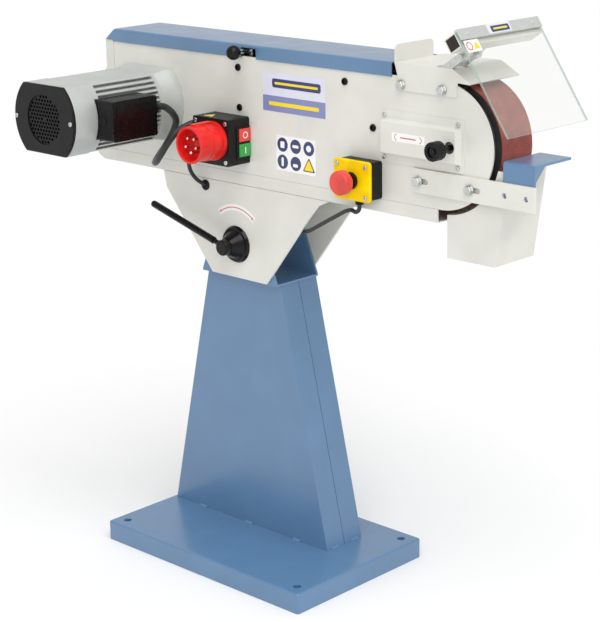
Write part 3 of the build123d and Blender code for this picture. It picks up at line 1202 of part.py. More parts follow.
def pan_head_screws():
    """Small screws of the tracking cover, switch box, emergency stop and fan cap."""
    track = [(x, z, ARM_FRONT_Y - 1.5) for x in (TRACK_X0 + 9.5, TRACK_X1 - 12) for z in (TRACK_Z0 + 8, TRACK_Z1 - 8)]
    switch = [(x, z, SWITCH_FRONT_Y) for x in (SWITCH_X0 + 7, SWITCH_X1 - 7) for z in (SWITCH_Z0 + 7, SWITCH_Z1 - 7)]
    reach_x = ESTOP_WIDTH / 2 - 7
    reach_z = ESTOP_HEIGHT / 2 - 6
    plate_y = ESTOP_BASE_Y - ESTOP_PLATE
    stop = [(ESTOP_X + sx * reach_x, ESTOP_Z + sz * reach_z, plate_y) for sx in (-1, 1) for sz in (-1, 1)]
    cap = [(DRIVE_X + side * (FAN_COVER_R - 7), ARM_AXIS_Z, FAN_CAP_END_Y) for side in (-1, 1)]
    return group(*[pan_head(*place) for place in track + switch + stop + cap])


def main():
    """Build every node and write it."""
    os.makedirs("parts", exist_ok=True)
    save("base_plate", base_plate())
    front_shell, back_shell = column_shells()
    save("column_front_shell", front_shell)
    save("column_back_shell", back_shell)
    save("saddle", saddle())
    save("pivot_bolt", pivot_bolt())
    hub, handle = clamp_lever()
    save("clamp_lever_hub", hub)
    save("clamp_lever_handle", handle)
    core, tyre = contact_wheel()
    save("contact_wheel_core", core)
    save("contact_wheel_tyre", tyre)
    save("motor_cable", cable(MOTOR_ROUTE, MOTOR_CABLE_R, "motor_cable"))
    save("control_cable", cable(CONTROL_ROUTE, CONTROL_CABLE_R, "control_cable"))
    save("stop_button", push_button(STOP_BUTTON_Z))
    save("start_button", push_button(START_BUTTON_Z))
    makers = (front_panel, bottom_tray, end_hood, rear_rail, top_cover, rear_door, door_knob, tilt_brackets,
              abrasive_belt, drive_wheel, contact_bearings, contact_carriage, contact_axle, guide_rail,
              tension_spring, platen, motor_end_shield, motor_body, motor_shaft, motor_fan, fan_cover,
              fan_end_cap, terminal_box, terminal_box_lid, switch_box, cee_inlet, cee_pins, estop_box,
              estop_plate, estop_collar, estop_mushroom, cable_glands, wheel_guard, shield_bar, shield_hinge,
              shield_glass, shield_strip, tool_rest_bar, tool_rest_table, dust_box, tracking_cover,
              tracking_knob, tension_lever, tension_knob, hex_bolts, panel_screws, pan_head_screws)
    for maker in makers:
        save(maker.__name__, maker())
    print("wheel distance", round(WHEEL_DISTANCE, 2), "drive wheel at x", round(DRIVE_X, 2))


main()
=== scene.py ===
import json
import logging
import math
from dataclasses import dataclass
from enum import Enum
from typing import Optional, Union

import bmesh
import bpy
import numpy as np
from mathutils import Matrix, Vector

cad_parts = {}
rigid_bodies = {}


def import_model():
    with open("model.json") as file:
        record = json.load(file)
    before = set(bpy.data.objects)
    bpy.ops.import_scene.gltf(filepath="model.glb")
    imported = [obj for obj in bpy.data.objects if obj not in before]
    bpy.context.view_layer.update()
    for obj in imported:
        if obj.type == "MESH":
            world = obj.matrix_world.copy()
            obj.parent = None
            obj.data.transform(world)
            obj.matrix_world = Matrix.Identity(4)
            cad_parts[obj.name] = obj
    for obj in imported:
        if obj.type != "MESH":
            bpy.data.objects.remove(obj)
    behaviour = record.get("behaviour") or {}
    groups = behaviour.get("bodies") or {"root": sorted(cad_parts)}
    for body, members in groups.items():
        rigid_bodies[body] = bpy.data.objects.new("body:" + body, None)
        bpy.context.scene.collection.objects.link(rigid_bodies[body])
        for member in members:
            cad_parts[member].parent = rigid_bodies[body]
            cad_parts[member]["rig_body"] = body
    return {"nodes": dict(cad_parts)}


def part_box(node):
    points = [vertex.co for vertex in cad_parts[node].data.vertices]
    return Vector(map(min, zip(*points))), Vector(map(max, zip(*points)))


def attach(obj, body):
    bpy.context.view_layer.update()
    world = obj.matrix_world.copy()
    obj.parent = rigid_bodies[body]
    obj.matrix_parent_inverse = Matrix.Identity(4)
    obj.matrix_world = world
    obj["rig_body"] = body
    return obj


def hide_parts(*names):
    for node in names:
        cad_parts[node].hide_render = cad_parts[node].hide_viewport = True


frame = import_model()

log = logging.getLogger("belt_grinder")
MM = 0.001
FILM_MM = 0.25
WELD_M = 2e-6


# --- Colours and shader nodes -----------------------------------------------------------------------------

def linear(hex_colour: str, alpha: float = 1.0) -> tuple[float, float, float, float]:
    """Turn an sRGB hex colour into the linear values that shaders use.

    Args:
        hex_colour: six hex digits, with or without a leading #.
        alpha: opacity, passed through.

    Returns:
        Linear red, green and blue, and the alpha.
    """
    digits = hex_colour.lstrip("#")
    srgb = np.array([int(digits[i:i + 2], 16) for i in (0, 2, 4)]) / 255
    values = np.where(srgb <= 0.04045, srgb / 12.92, ((srgb + 0.055) / 1.055) ** 2.4)
    return (float(values[0]), float(values[1]), float(values[2]), alpha)


def add_node(tree: bpy.types.NodeTree, kind: str, settings: Optional[dict] = None,
             links: Optional[dict] = None) -> bpy.types.Node:
    """Add one shader node with its settings and links.

    Args:
        tree: node tree that gets the node.
        kind: bl_idname of the node.
        settings: socket values by socket name or number, and properties by name.
        links: output sockets by the input name or number that they feed.

    Returns:
        The new node.
    """
    node = tree.nodes.new(kind)
    for key, value in (settings or {}).items():
        if isinstance(key, int) or key in node.inputs:
            node.inputs[key].default_value = value
        else:
            setattr(node, key, value)
    for key, source in (links or {}).items():
        tree.links.new(source, node.inputs[key])
    return node


def per_metre(size_mm: float) -> float:
    """Texture scale whose features are about size_mm across."""
    return 1.0 / (size_mm * MM)


# --- Finishes ---------------------------------------------------------------------------------------------

@dataclass(frozen=True)
class Finish:
    """A surface finish: what all the shaders here have in common."""

    name: str
    colour: str
    roughness: float

    def shader(self, tree: bpy.types.NodeTree, place: bpy.types.NodeSocket) -> bpy.types.Node:
        """Add the finish's own nodes and return its surface shader."""
        raise NotImplementedError

    def material(self) -> bpy.types.Material:
        """Make the material, with patterns laid in the object's own coordinates."""
        material = bpy.data.materials.new(self.name)
        material.use_nodes = True
        tree = material.node_tree
        tree.nodes.clear()
        place = add_node(tree, "ShaderNodeTexCoord").outputs["Object"]
        surface = self.shader(tree, place)
        add_node(tree, "ShaderNodeOutputMaterial", links={"Surface": surface.outputs[0]})
        material.diffuse_color = linear(self.colour)
        return material

    def mottled(self, tree: bpy.types.NodeTree, place: bpy.types.NodeSocket, size_mm: float,
                low: str, high: str) -> bpy.types.NodeSocket:
        """Colour that drifts between two shades in patches.

        Args:
            tree: node tree that gets the nodes.
            place: coordinates that the pattern is laid in.
            size_mm: size of a patch in mm.
            low: hex colour of one shade.
            high: hex colour of the other.

        Returns:
            The colour's socket.
        """
        noise = add_node(tree, "ShaderNodeTexNoise", {"Scale": per_metre(size_mm), "Detail": 3.0},
                         {"Vector": place})
        ramp = add_node(tree, "ShaderNodeValToRGB", links={"Fac": noise.outputs["Fac"]})
        ramp.color_ramp.elements[0].position = 0.35
        ramp.color_ramp.elements[0].color = linear(low)
        ramp.color_ramp.elements[1].position = 0.65
        ramp.color_ramp.elements[1].color = linear(high)
        return ramp.outputs["Color"]

    def uneven_roughness(self, tree: bpy.types.NodeTree, place: bpy.types.NodeSocket, size_mm: float,
                         spread: float) -> bpy.types.NodeSocket:
        """Roughness that varies in patches about the finish's own.

        Args:
            tree: node tree that gets the nodes.
            place: coordinates that the pattern is laid in.
            size_mm: size of a patch in mm.
            spread: how far it varies each way.

        Returns:
            The roughness's socket.
        """
        noise = add_node(tree, "ShaderNodeTexNoise", {"Scale": per_metre(size_mm), "Detail": 2.0},
                         {"Vector": place})
        limits = {"From Min": 0.3, "From Max": 0.7, "To Min": self.roughness - spread,
                  "To Max": self.roughness + spread}
        return add_node(tree, "ShaderNodeMapRange", limits, {"Value": noise.outputs["Fac"]}).outputs["Result"]

    def bumped(self, tree: bpy.types.NodeTree, height: bpy.types.NodeSocket, depth_mm: float,
               strength: float) -> bpy.types.NodeSocket:
        """Normal of a shallow relief.

        Args:
            tree: node tree that gets the nodes.
            height: socket with the relief's height, from 0 to 1.
            depth_mm: depth of the relief in mm.
            strength: how much of it shows, from 0 to 1.

        Returns:
            The normal's socket.
        """
        settings = {"Strength": strength, "Distance": depth_mm * MM}
        return add_node(tree, "ShaderNodeBump", settings, {"Height": height}).outputs["Normal"]


def shade(colour: str, factor: float) -> str:
    """Make a hex colour lighter or darker.

    Args:
        colour: six hex digits, with or without a leading #.
        factor: more than 1 for lighter, less for darker.

    Returns:
        The new hex colour.
    """
    digits = colour.lstrip("#")
    values = [min(255, round(int(digits[i:i + 2], 16) * factor)) for i in (0, 2, 4)]
    return "#" + "".join(f"{value:02x}" for value in values)


@dataclass(frozen=True)
class PowderCoat(Finish):
    """Baked powder paint on sheet steel: an even colour under a soft satin gloss.

    The orange peel is a 1 mm ripple in the real coat; it is drawn 5 mm wide so that it shows as the
    slightly uneven sheen that tells paint from plastic.
    """

    peel_mm: float = 5.0
    coat: float = 0.25

    def shader(self, tree: bpy.types.NodeTree, place: bpy.types.NodeSocket) -> bpy.types.Node:
        """Mottled colour, orange peel and a thin clear top layer.

        Args:
            tree: node tree that gets the nodes.
            place: coordinates that the patterns are laid in.

        Returns:
            The surface shader's node.
        """
        peel = add_node(tree, "ShaderNodeTexNoise", {"Scale": per_metre(self.peel_mm), "Detail": 1.0},
                        {"Vector": place})
        colour = self.mottled(tree, place, 90.0, shade(self.colour, 0.975), shade(self.colour, 1.02))
        return add_node(tree, "ShaderNodeBsdfPrincipled",
                        {"IOR": 1.5, "Coat Weight": self.coat, "Coat Roughness": 0.22},
                        {"Base Color": colour,
                         "Roughness": self.uneven_roughness(tree, place, 40.0, 0.05),
                         "Normal": self.bumped(tree, peel.outputs["Fac"], 0.05, 0.35)})


@dataclass(frozen=True)
class SilverEnamel(Finish):
    """Sprayed aluminium-flake enamel on the motor: grey with a metallic bloom on the curved sides."""

    metallic: float = 0.45

    def shader(self, tree: bpy.types.NodeTree, place: bpy.types.NodeSocket) -> bpy.types.Node:
        """Flake speckle, drawn 2 mm wide so that it shows, over a cast surface.

        Args:
            tree: node tree that gets the nodes.
            place: coordinates that the patterns are laid in.

        Returns:
            The surface shader's node.
        """
        flake = add_node(tree, "ShaderNodeTexNoise", {"Scale": per_metre(2.0), "Detail": 4.0},
                         {"Vector": place})
        colour = self.mottled(tree, place, 60.0, shade(self.colour, 0.98), shade(self.colour, 1.02))
        return add_node(tree, "ShaderNodeBsdfPrincipled", {"Metallic": self.metallic},
                        {"Base Color": colour,
                         "Roughness": self.uneven_roughness(tree, place, 40.0, 0.02),
                         "Normal": self.bumped(tree, flake.outputs["Fac"], 0.05, 0.3)})


@dataclass(frozen=True)
class MouldedPlastic(Finish):
    """Injection-moulded ABS or polyamide: spark-eroded grain that breaks up the highlight."""

    grain_mm: float = 1.6
    relief_mm: float = 0.03
    coat: float = 0.0
    specular: float = 0.3

    def shader(self, tree: bpy.types.NodeTree, place: bpy.types.NodeSocket) -> bpy.types.Node:
        """Even colour, fine grain in the normal and a little unevenness in the gloss.

        Args:
            tree: node tree that gets the nodes.
            place: coordinates that the patterns are laid in.

        Returns:
            The surface shader's node.
        """
        grain = add_node(tree, "ShaderNodeTexNoise", {"Scale": per_metre(self.grain_mm), "Detail": 2.0},
                         {"Vector": place})
        colour = self.mottled(tree, place, 30.0, shade(self.colour, 0.95), shade(self.colour, 1.05))
        return add_node(tree, "ShaderNodeBsdfPrincipled",
                        {"IOR": 1.53, "Specular IOR Level": self.specular, "Coat Weight": self.coat,
                         "Coat Roughness": 0.12},
                        {"Base Color": colour,
                         "Roughness": self.uneven_roughness(tree, place, 20.0, 0.05),
                         "Normal": self.bumped(tree, grain.outputs["Fac"], self.relief_mm, 0.5)})


@dataclass(frozen=True)
class WorkedMetal(Finish):
    """Bare or plated metal: turned, rolled or cast, with marks drawn out along one axis."""

    marks_mm: tuple[float, float, float] = (1.0, 12.0, 1.0)
    relief_mm: float = 0.02

    def shader(self, tree: bpy.types.NodeTree, place: bpy.types.NodeSocket) -> bpy.types.Node:
        """Stretched noise for the tool marks, in the roughness and the normal, over a patchy colour.

        Args:
            tree: node tree that gets the nodes.
            place: coordinates that the patterns are laid in.

        Returns:
            The surface shader's node.
        """
        scale = [per_metre(size) for size in self.marks_mm]
        laid = add_node(tree, "ShaderNodeMapping", {"Scale": scale}, {"Vector": place})
        marks = add_node(tree, "ShaderNodeTexNoise", {"Scale": 1.0, "Detail": 4.0},
                         {"Vector": laid.outputs["Vector"]})
        spread = {"From Min": 0.3, "From Max": 0.7, "To Min": self.roughness - 0.04,
                  "To Max": self.roughness + 0.06}
        rough = add_node(tree, "ShaderNodeMapRange", spread, {"Value": marks.outputs["Fac"]})
        colour = self.mottled(tree, place, 9.0, shade(self.colour, 0.96), shade(self.colour, 1.03))
        return add_node(tree, "ShaderNodeBsdfPrincipled", {"Metallic": 1.0},
                        {"Base Color": colour, "Roughness": rough.outputs["Result"],
                         "Normal": self.bumped(tree, marks.outputs["Fac"], self.relief_mm, 0.5)})


@dataclass(frozen=True)
class SoftRubber(Finish):
    """Vulcanised rubber or cable sheath: deep black that goes grey at a grazing angle."""

    sheen: float = 0.15

    def shader(self, tree: bpy.types.NodeTree, place: bpy.types.NodeSocket) -> bpy.types.Node:
        """Dull surface with a chalky sheen and a fine skin texture.

        Args:
            tree: node tree that gets the nodes.
            place: coordinates that the patterns are laid in.

        Returns:
            The surface shader's node.
        """
        skin = add_node(tree, "ShaderNodeTexNoise", {"Scale": per_metre(1.5), "Detail": 3.0},
                        {"Vector": place})
        colour = self.mottled(tree, place, 15.0, shade(self.colour, 0.9), shade(self.colour, 1.15))
        return add_node(tree, "ShaderNodeBsdfPrincipled",
                        {"IOR": 1.52, "Sheen Weight": self.sheen, "Sheen Roughness": 0.4},
                        {"Base Color": colour,
                         "Roughness": self.uneven_roughness(tree, place, 10.0, 0.06),
                         "Normal": self.bumped(tree, skin.outputs["Fac"], 0.04, 0.4)})


@dataclass(frozen=True)
class AbrasiveCloth(Finish):
    """Aluminium oxide grit bonded to cloth: a dry red-brown that glitters faintly.

    Grit 80 is 0.2 mm; it is drawn 1.4 mm wide so that the surface still reads as grains.
    """

    grit_mm: float = 1.4

    def shader(self, tree: bpy.types.NodeTree, place: bpy.types.NodeSocket) -> bpy.types.Node:
        """Grain by grain colour, broad worn streaks and a coarse relief.

        Args:
            tree: node tree that gets the nodes.
            place: coordinates that the patterns are laid in.

        Returns:
            The surface shader's node.
        """
        grit = add_node(tree, "ShaderNodeTexVoronoi", {"Scale": per_metre(self.grit_mm)}, {"Vector": place})
        grains = add_node(tree, "ShaderNodeValToRGB", links={"Fac": grit.outputs["Distance"]})
        grains.color_ramp.elements[0].color = linear(shade(self.colour, 1.18))
        grains.color_ramp.elements[1].color = linear(shade(self.colour, 0.72))
        patches = self.mottled(tree, place, 28.0, "#d9d9d9", "#ffffff")
        mixed = add_node(tree, "ShaderNodeMix", {"data_type": "RGBA", "blend_type": "MULTIPLY", 0: 1.0},
                         {6: grains.outputs["Color"], 7: patches})
        return add_node(tree, "ShaderNodeBsdfPrincipled", {"Roughness": self.roughness, "IOR": 1.6},
                        {"Base Color": mixed.outputs[2],
                         "Normal": self.bumped(tree, grit.outputs["Distance"], 0.25, 0.6)})


@dataclass(frozen=True)
class ClearSheet(Finish):
    """Polycarbonate sheet with a faint milky haze, clear enough to see the wheel through it."""

    opacity: float = 0.12

    def shader(self, tree: bpy.types.NodeTree, place: bpy.types.NodeSocket) -> bpy.types.Node:
        """Thin see-through layer with sharp reflections and fine handling haze."""
        return add_node(tree, "ShaderNodeBsdfPrincipled",
                        {"IOR": 1.58, "Alpha": self.opacity, "Coat Weight": 0.6, "Coat Roughness": 0.03},
                        {"Base Color": self.mottled(tree, place, 60.0, self.colour, shade(self.colour, 1.02)),
                         "Roughness": self.uneven_roughness(tree, place, 30.0, 0.03)})


@dataclass(frozen=True)
class PrintedFilm(Finish):
    """Screen-printed vinyl film: flat ink under a smooth clear laminate."""

    def shader(self, tree: bpy.types.NodeTree, place: bpy.types.NodeSocket) -> bpy.types.Node:
        """Even ink, slightly rippled where the film lies on orange peel.

        Args:
            tree: node tree that gets the nodes.
            place: coordinates that the patterns are laid in.

        Returns:
            The surface shader's node.
        """
        ripple = add_node(tree, "ShaderNodeTexNoise", {"Scale": per_metre(7.0)}, {"Vector": place})
        ink = self.mottled(tree, place, 35.0, shade(self.colour, 0.985), shade(self.colour, 1.01))
        return add_node(tree, "ShaderNodeBsdfPrincipled",
                        {"IOR": 1.48, "Coat Weight": 0.4, "Coat Roughness": 0.15},
                        {"Base Color": ink, "Roughness": self.uneven_roughness(tree, place, 25.0, 0.04),
                         "Normal": self.bumped(tree, ripple.outputs["Fac"], 0.02, 0.3)})


@dataclass(frozen=True)
class StudioPaper(Finish):
    """Matt paper roll under the machine: pale and even, with a faint fibre."""

    def shader(self, tree: bpy.types.NodeTree, place: bpy.types.NodeSocket) -> bpy.types.Node:
        """Even pale colour with a very soft drift over half a metre."""
        drift = self.mottled(tree, place, 600.0, shade(self.colour, 0.995), self.colour)
        return add_node(tree, "ShaderNodeBsdfPrincipled", {"Roughness": self.roughness},
                        {"Base Color": drift})


class Skin(Enum):
    """Every finish on the machine. Each member's value makes its material."""

    # Baked powder paint on folded sheet: a cool mid blue under a clear satin gloss.
    BLUE = PowderCoat("blue_powder_coat", "#557ca2", 0.34, coat=0.8)
    # The same paint in warm light grey: pale, with soft reflections only at grazing angles.
    LIGHT = PowderCoat("light_grey_powder_coat", "#dddcd4", 0.42, coat=0.2)
    # Sprayed flake enamel on the aluminium housing: grey, with bright fin edges.
    MOTOR = SilverEnamel("silver_enamel", "#c4c7c3", 0.45, metallic=0.3)
    # Die-cast aluminium, left as cast: a dull even grey metal.
    CAST = WorkedMetal("cast_aluminium", "#b9bbbb", 0.45, (3.0, 3.0, 3.0), 0.05)
    # Turned bright steel: fine marks along the axis that stretch the highlights.
    STEEL = WorkedMetal("turned_steel", "#a9a9a6", 0.30)
    # Zinc-plated steel: bright and slightly patchy, the shiniest metal here.
    ZINC = WorkedMetal("bright_zinc_plate", "#c9cbc8", 0.24, (2.5, 2.5, 2.5))
    # Oiled spring wire: dark, with a thin bright line along each coil.
    SPRING = WorkedMetal("spring_wire", "#6f7072", 0.35)
    # Nickel-plated brass: a warm, clean glint on the pins.
    NICKEL = WorkedMetal("nickel_plate", "#d9d6cc", 0.2)
    # Black oxide on steel screws: near black, with a metal edge.
    BLACK_OXIDE = WorkedMetal("black_oxide", "#2a2a2b", 0.42)
    # Moulded polyamide: a flat black that hardly reflects.
    BLACK = MouldedPlastic("black_polyamide", "#121312", 0.42, specular=0.22)
    # Moulded ABS: black with a soft highlight on each curve.
    GLOSS_BLACK = MouldedPlastic("black_abs_gloss", "#0b0b0b", 0.28, coat=0.08, specular=0.2)
    # Moulded polyamide in signal red: saturated, with a slight shine.
    RED = MouldedPlastic("red_polyamide", "#e0231f", 0.32, coat=0.15)
    # Moulded ABS in a lighter, paler red: the two stop controls.
    STOP_RED = MouldedPlastic("red_abs", "#dc4840", 0.38, coat=0.1)
    # Moulded ABS in mid green: the start button.
    GREEN = MouldedPlastic("green_abs", "#35a04a", 0.36, coat=0.1)
    # Moulded ABS in warm yellow: nearly matt, so that it stays yellow in the light.
    YELLOW = MouldedPlastic("yellow_abs", "#ffd200", 0.42, specular=0.1)
    # Graphite cloth on the platen: a dull dark grey.
    GRAPHITE = MouldedPlastic("graphite_facing", "#3a3b3d", 0.6)
    # Dark sheet just inside each end of the shield's tube: painted shade that stands for the tube's raw
    # inside in shadow, a matt brown black.
    TUBE_SHADE = MouldedPlastic("painted_tube_end_shade", "#2a241f", 0.6)
    # Rubber tyre: dark grey and dull, greyer at the rim.
    TYRE = SoftRubber("tyre_rubber", "#2c2c2b", 0.5)
    # Rubber cable sheath: dark grey with a faint line of light.
    SHEATH = SoftRubber("cable_sheath", "#1e201f", 0.5)
    # Aluminium oxide cloth, grit 80: a dry red brown with visible grains.
    GRIT = AbrasiveCloth("abrasive_cloth", "#a5524a", 0.85)
    # Polycarbonate sheet: seen mostly by its haze and its reflections.
    CLEAR = ClearSheet("clear_polycarbonate", "#cfd4cc", 0.08)
    # The sheet end on, where the light gathers: a pale green line.
    CLEAR_EDGE = ClearSheet("clear_polycarbonate_sawn_edge", "#9ab5a8", 0.3, opacity=0.6)
    # Matt paper roll: a pale ground that takes a soft shadow.
    PAPER = StudioPaper("studio_paper", "#f3f3f3", 0.95)
    # Printed vinyl: flat white.
    FILM_WHITE = PrintedFilm("white_film", "#f2f2f0", 0.35)
    # Printed vinyl: a pale, cool lilac.
    FILM_LILAC = PrintedFilm("pale_lilac_film", "#dcdcea", 0.35)
    # Printed vinyl: a mid lavender.
    FILM_LAVENDER = PrintedFilm("lavender_film", "#8088b8", 0.35)
    # Screen ink: dark blue.
    FILM_NAVY = PrintedFilm("navy_ink", "#27346b", 0.35)
    # Screen ink: bright yellow.
    FILM_YELLOW = PrintedFilm("yellow_ink", "#f7d917", 0.35)
    # Screen ink: black.
    FILM_BLACK = PrintedFilm("black_ink", "#1c1c1c", 0.4)
    # Screen ink: a faded red.
    FILM_RED = PrintedFilm("red_ink", "#c8565a", 0.35)


_made: dict[str, bpy.types.Material] = {}


def material_of(skin: Skin) -> bpy.types.Material:
    """Material of a finish, made the first time it is asked for."""
    if skin.name not in _made:
        _made[skin.name] = skin.value.material()
    return _made[skin.name]


# --- Meshes -----------------------------------------------------------------------------------------------

@dataclass(frozen=True)
class Placement:
    """A flat place on the machine: an origin in mm and two unit directions in the face."""

    origin: tuple[float, float, float]
    across: tuple[float, float, float]
    up: tuple[float, float, float]

    def lift(self, flat: np.ndarray, height: Union[float, np.ndarray]) -> np.ndarray:
        """Carry flat points into space: origin + first * across + second * up + height * normal.

        Args:
            flat: points in mm, one row each.
            height: height above the face in mm, one for all or one for each.

        Returns:
            The points in metres.
        """
        across = np.array(self.across)
        up = np.array(self.up)
        normal = np.cross(across, up)
        height = np.broadcast_to(height, flat.shape[:1])
        points = np.array(self.origin) + flat[:, :1] * across + flat[:, 1:] * up + height[:, None] * normal
        return points * MM


def front(y: float) -> Placement:
    """Face that looks towards -Y at the given y, with the machine's own x and z."""
    return Placement((0.0, y, 0.0), (1.0, 0.0, 0.0), (0.0, 0.0, 1.0))


def mesh_object(name: str, points: np.ndarray, faces: list, skin: Skin, body: str) -> bpy.types.Object:
    """Make a piece, dress it and let it ride on a body.

    Args:
        name: the piece's name.
        points: corner points in metres.
        faces: corner numbers of each face, anticlockwise seen from outside.
        skin: finish.
        body: body that it rides on.

    Returns:
        The new object.
    """
    mesh = bpy.data.meshes.new(name)
    mesh.from_pydata(points.tolist(), [], faces)
    mesh.update()
    mesh.materials.append(material_of(skin))
    piece = bpy.data.objects.new(name, mesh)
    bpy.context.scene.collection.objects.link(piece)
    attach(piece, body)
    return piece


def film(name: str, outline: np.ndarray, place: Placement, skin: Skin, body: str, thick: float = FILM_MM,
         base: float = 0.0) -> bpy.types.Object:
    """Thin closed slab with the given outline, standing base above its face.

    Args:
        name: the piece's name.
        outline: corner points in mm, anticlockwise seen from outside.
        place: face that it lies on.
        skin: finish.
        body: body that it rides on.
        thick: thickness in mm.
        base: height of its underside above the face in mm.

    Returns:
        The new object.
    """
    count = len(outline)
    points = np.vstack([place.lift(outline, base), place.lift(outline, base + thick)])
    index = np.arange(count)
    following = np.roll(index, -1)
    sides = np.stack([index, following, following + count, index + count], axis=1)
    faces = [index[::-1].tolist(), (index + count).tolist()] + sides.tolist()
    return mesh_object(name, points, faces, skin, body)


def ring(name: str, centre: tuple[float, float], inner: float, outer: float, place: Placement, skin: Skin,
         body: str, base: float = 0.0, span: tuple[float, float] = (0.0, 360.0)) -> bpy.types.Object:
    """Flat ring, or an arc of one: a rectangle carried round the centre from one angle to the other.

    Args:
        name: the piece's name.
        centre: centre in mm on the face.
        inner: inner radius in mm.
        outer: outer radius in mm.
        place: face that it lies on.
        skin: finish.
        body: body that it rides on.
        base: height of its underside above the face in mm.
        span: first and last angle in degrees.

    Returns:
        The new object.
    """
    whole = abs(span[1] - span[0]) >= 360.0
    count = 48
    turn = np.radians(np.linspace(span[0], span[1], count, endpoint=not whole))
    spoke = np.stack([np.cos(turn), np.sin(turn)], axis=1)
    top = base + FILM_MM
    loops = [place.lift(np.array(centre) + radius * spoke, height)
             for radius, height in ((inner, base), (outer, base), (outer, top), (inner, top))]
    index = np.arange(count if whole else count - 1)
    following = (index + 1) % count
    faces = []
    for lane in range(4):
        near = lane * count
        far = (lane + 1) % 4 * count
        quads = np.stack([near + index, near + following, far + following, far + index], axis=1)
        faces += quads[:, ::-1].tolist()
    if not whole:
        faces += [[0, count, 2 * count, 3 * count][::-1], [lane * count + count - 1 for lane in range(4)]]
    piece = mesh_object(name, np.vstack(loops), faces, skin, body)
    recalculate_normals(piece.data)
    return piece


def recalculate_normals(mesh: bpy.types.Mesh) -> None:
    """Turn every face of a closed mesh outwards.

    Args:
        mesh: mesh that is changed in place.
    """
    work = bmesh.new()
    work.from_mesh(mesh)
    bmesh.ops.recalc_face_normals(work, faces=work.faces)
    work.to_mesh(mesh)
    work.free()


def rounded_rectangle(x0: float, x1: float, z0: float, z1: float, radius: float) -> np.ndarray:
    """Rectangle outline whose corners are quarter circles: a centre plus the radius at each angle.

    Args:
        x0: left side in mm.
        x1: right side in mm.
        z0: lower side in mm.
        z1: upper side in mm.
        radius: radius of the corners in mm.

    Returns:
        Outline points in mm, anticlockwise.
    """
    quarter = np.radians(np.linspace(0, 90, 7))
    corners = ((x1 - radius, z1 - radius, 0), (x0 + radius, z1 - radius, 90),
               (x0 + radius, z0 + radius, 180), (x1 - radius, z0 + radius, 270))
    parts = [np.stack([x + radius * np.cos(quarter + math.radians(turn)),
                       z + radius * np.sin(quarter + math.radians(turn))], axis=1) for x, z, turn in corners]
    return np.vstack(parts)


def disc(x: float, z: float, radius: float, count: int = 40) -> np.ndarray:
    """Circle outline: the centre plus the radius at evenly spaced angles."""
    turn = np.arange(count) * 2 * math.pi / count
    return np.stack([x + radius * np.cos(turn), z + radius * np.sin(turn)], axis=1)


def triangle(x: float, z: float, reach: float, radius: float) -> np.ndarray:
    """Upright triangle outline with rounded corners: three arcs a third of a turn apart.

    Args:
        x: centre across in mm.
        z: centre upwards in mm.
        reach: distance in mm from the centre to where a sharp corner would be, less one corner radius.
        radius: radius of the corners in mm.

    Returns:
        Outline points in mm, anticlockwise.
    """
    parts = []
    for turn in (90, 210, 330):
        spoke = np.array([math.cos(math.radians(turn)), math.sin(math.radians(turn))])
        middle = np.array([x, z]) + (reach - 2 * radius) * spoke
        sweep = np.radians(np.linspace(turn - 60, turn + 60, 6))
        parts.append(middle + radius * np.stack([np.cos(sweep), np.sin(sweep)], axis=1))
    return np.vstack(parts)


# --- CAD nodes --------------------------------------------------------------------------------------------

def refine(name: str, skin: Skin, edge_mm: float, smooth_angle: float = 32.0) -> bpy.types.Object:
    """Stand-in for a CAD node: the same surface, welded, smooth where it curves and eased at its edges.

    Args:
        name: the CAD node.
        skin: finish.
        edge_mm: width of the eased edge in mm, or 0 for none.
        smooth_angle: an edge sharper than this many degrees stays an edge.

    Returns:
        The new object, which replaces the node.
    """
    source = frame["nodes"][name]
    work = bmesh.new()
    work.from_mesh(source.data)
    bmesh.ops.remove_doubles(work, verts=work.verts, dist=WELD_M)
    flat = math.radians(0.3)
    bmesh.ops.dissolve_limit(work, angle_limit=flat, verts=work.verts, edges=work.edges)
    limit = math.radians(smooth_angle)
    for edge in work.edges:
        edge.smooth = len(edge.link_faces) == 2 and edge.calc_face_angle(0.0) < limit
    for face in work.faces:
        face.smooth = True
        face.material_index = 0
    mesh = bpy.data.meshes.new(name + "_finished")
    work.to_mesh(mesh)
    work.free()
    mesh.materials.append(material_of(skin))
    piece = bpy.data.objects.new(name + "_finished", mesh)
    bpy.context.scene.collection.objects.link(piece)
    if edge_mm:
        bevel = piece.modifiers.new("eased edges", "BEVEL")
        bevel.width = edge_mm * MM
        bevel.segments = 2
        bevel.limit_method = "ANGLE"
        bevel.angle_limit = limit
        bevel.harden_normals = True
        bevel.use_clamp_overlap = True
    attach(piece, source["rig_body"])
    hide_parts(name)
    return piece


@dataclass
class Panelwork:
    """The sheet metal: stand, casing, brackets, guard, covers, tool rest and dust box."""

    fold_mm: float = 0.6

    def build(self) -> int:
        """Finish every sheet node.

        Returns:
            How many nodes were finished.
        """
        blue = ("base_plate", "column_front_shell", "column_back_shell", "saddle", "top_cover",
                "tool_rest_table")
        light = ("front_panel", "bottom_tray", "end_hood", "rear_rail", "rear_door", "tilt_brackets",
                 "wheel_guard", "tracking_cover", "tool_rest_bar", "dust_box", "shield_bar")
        for name in blue:
            refine(name, Skin.BLUE, self.fold_mm)
        for name in light:
            refine(name, Skin.LIGHT, self.fold_mm)
        return len(blue) + len(light)


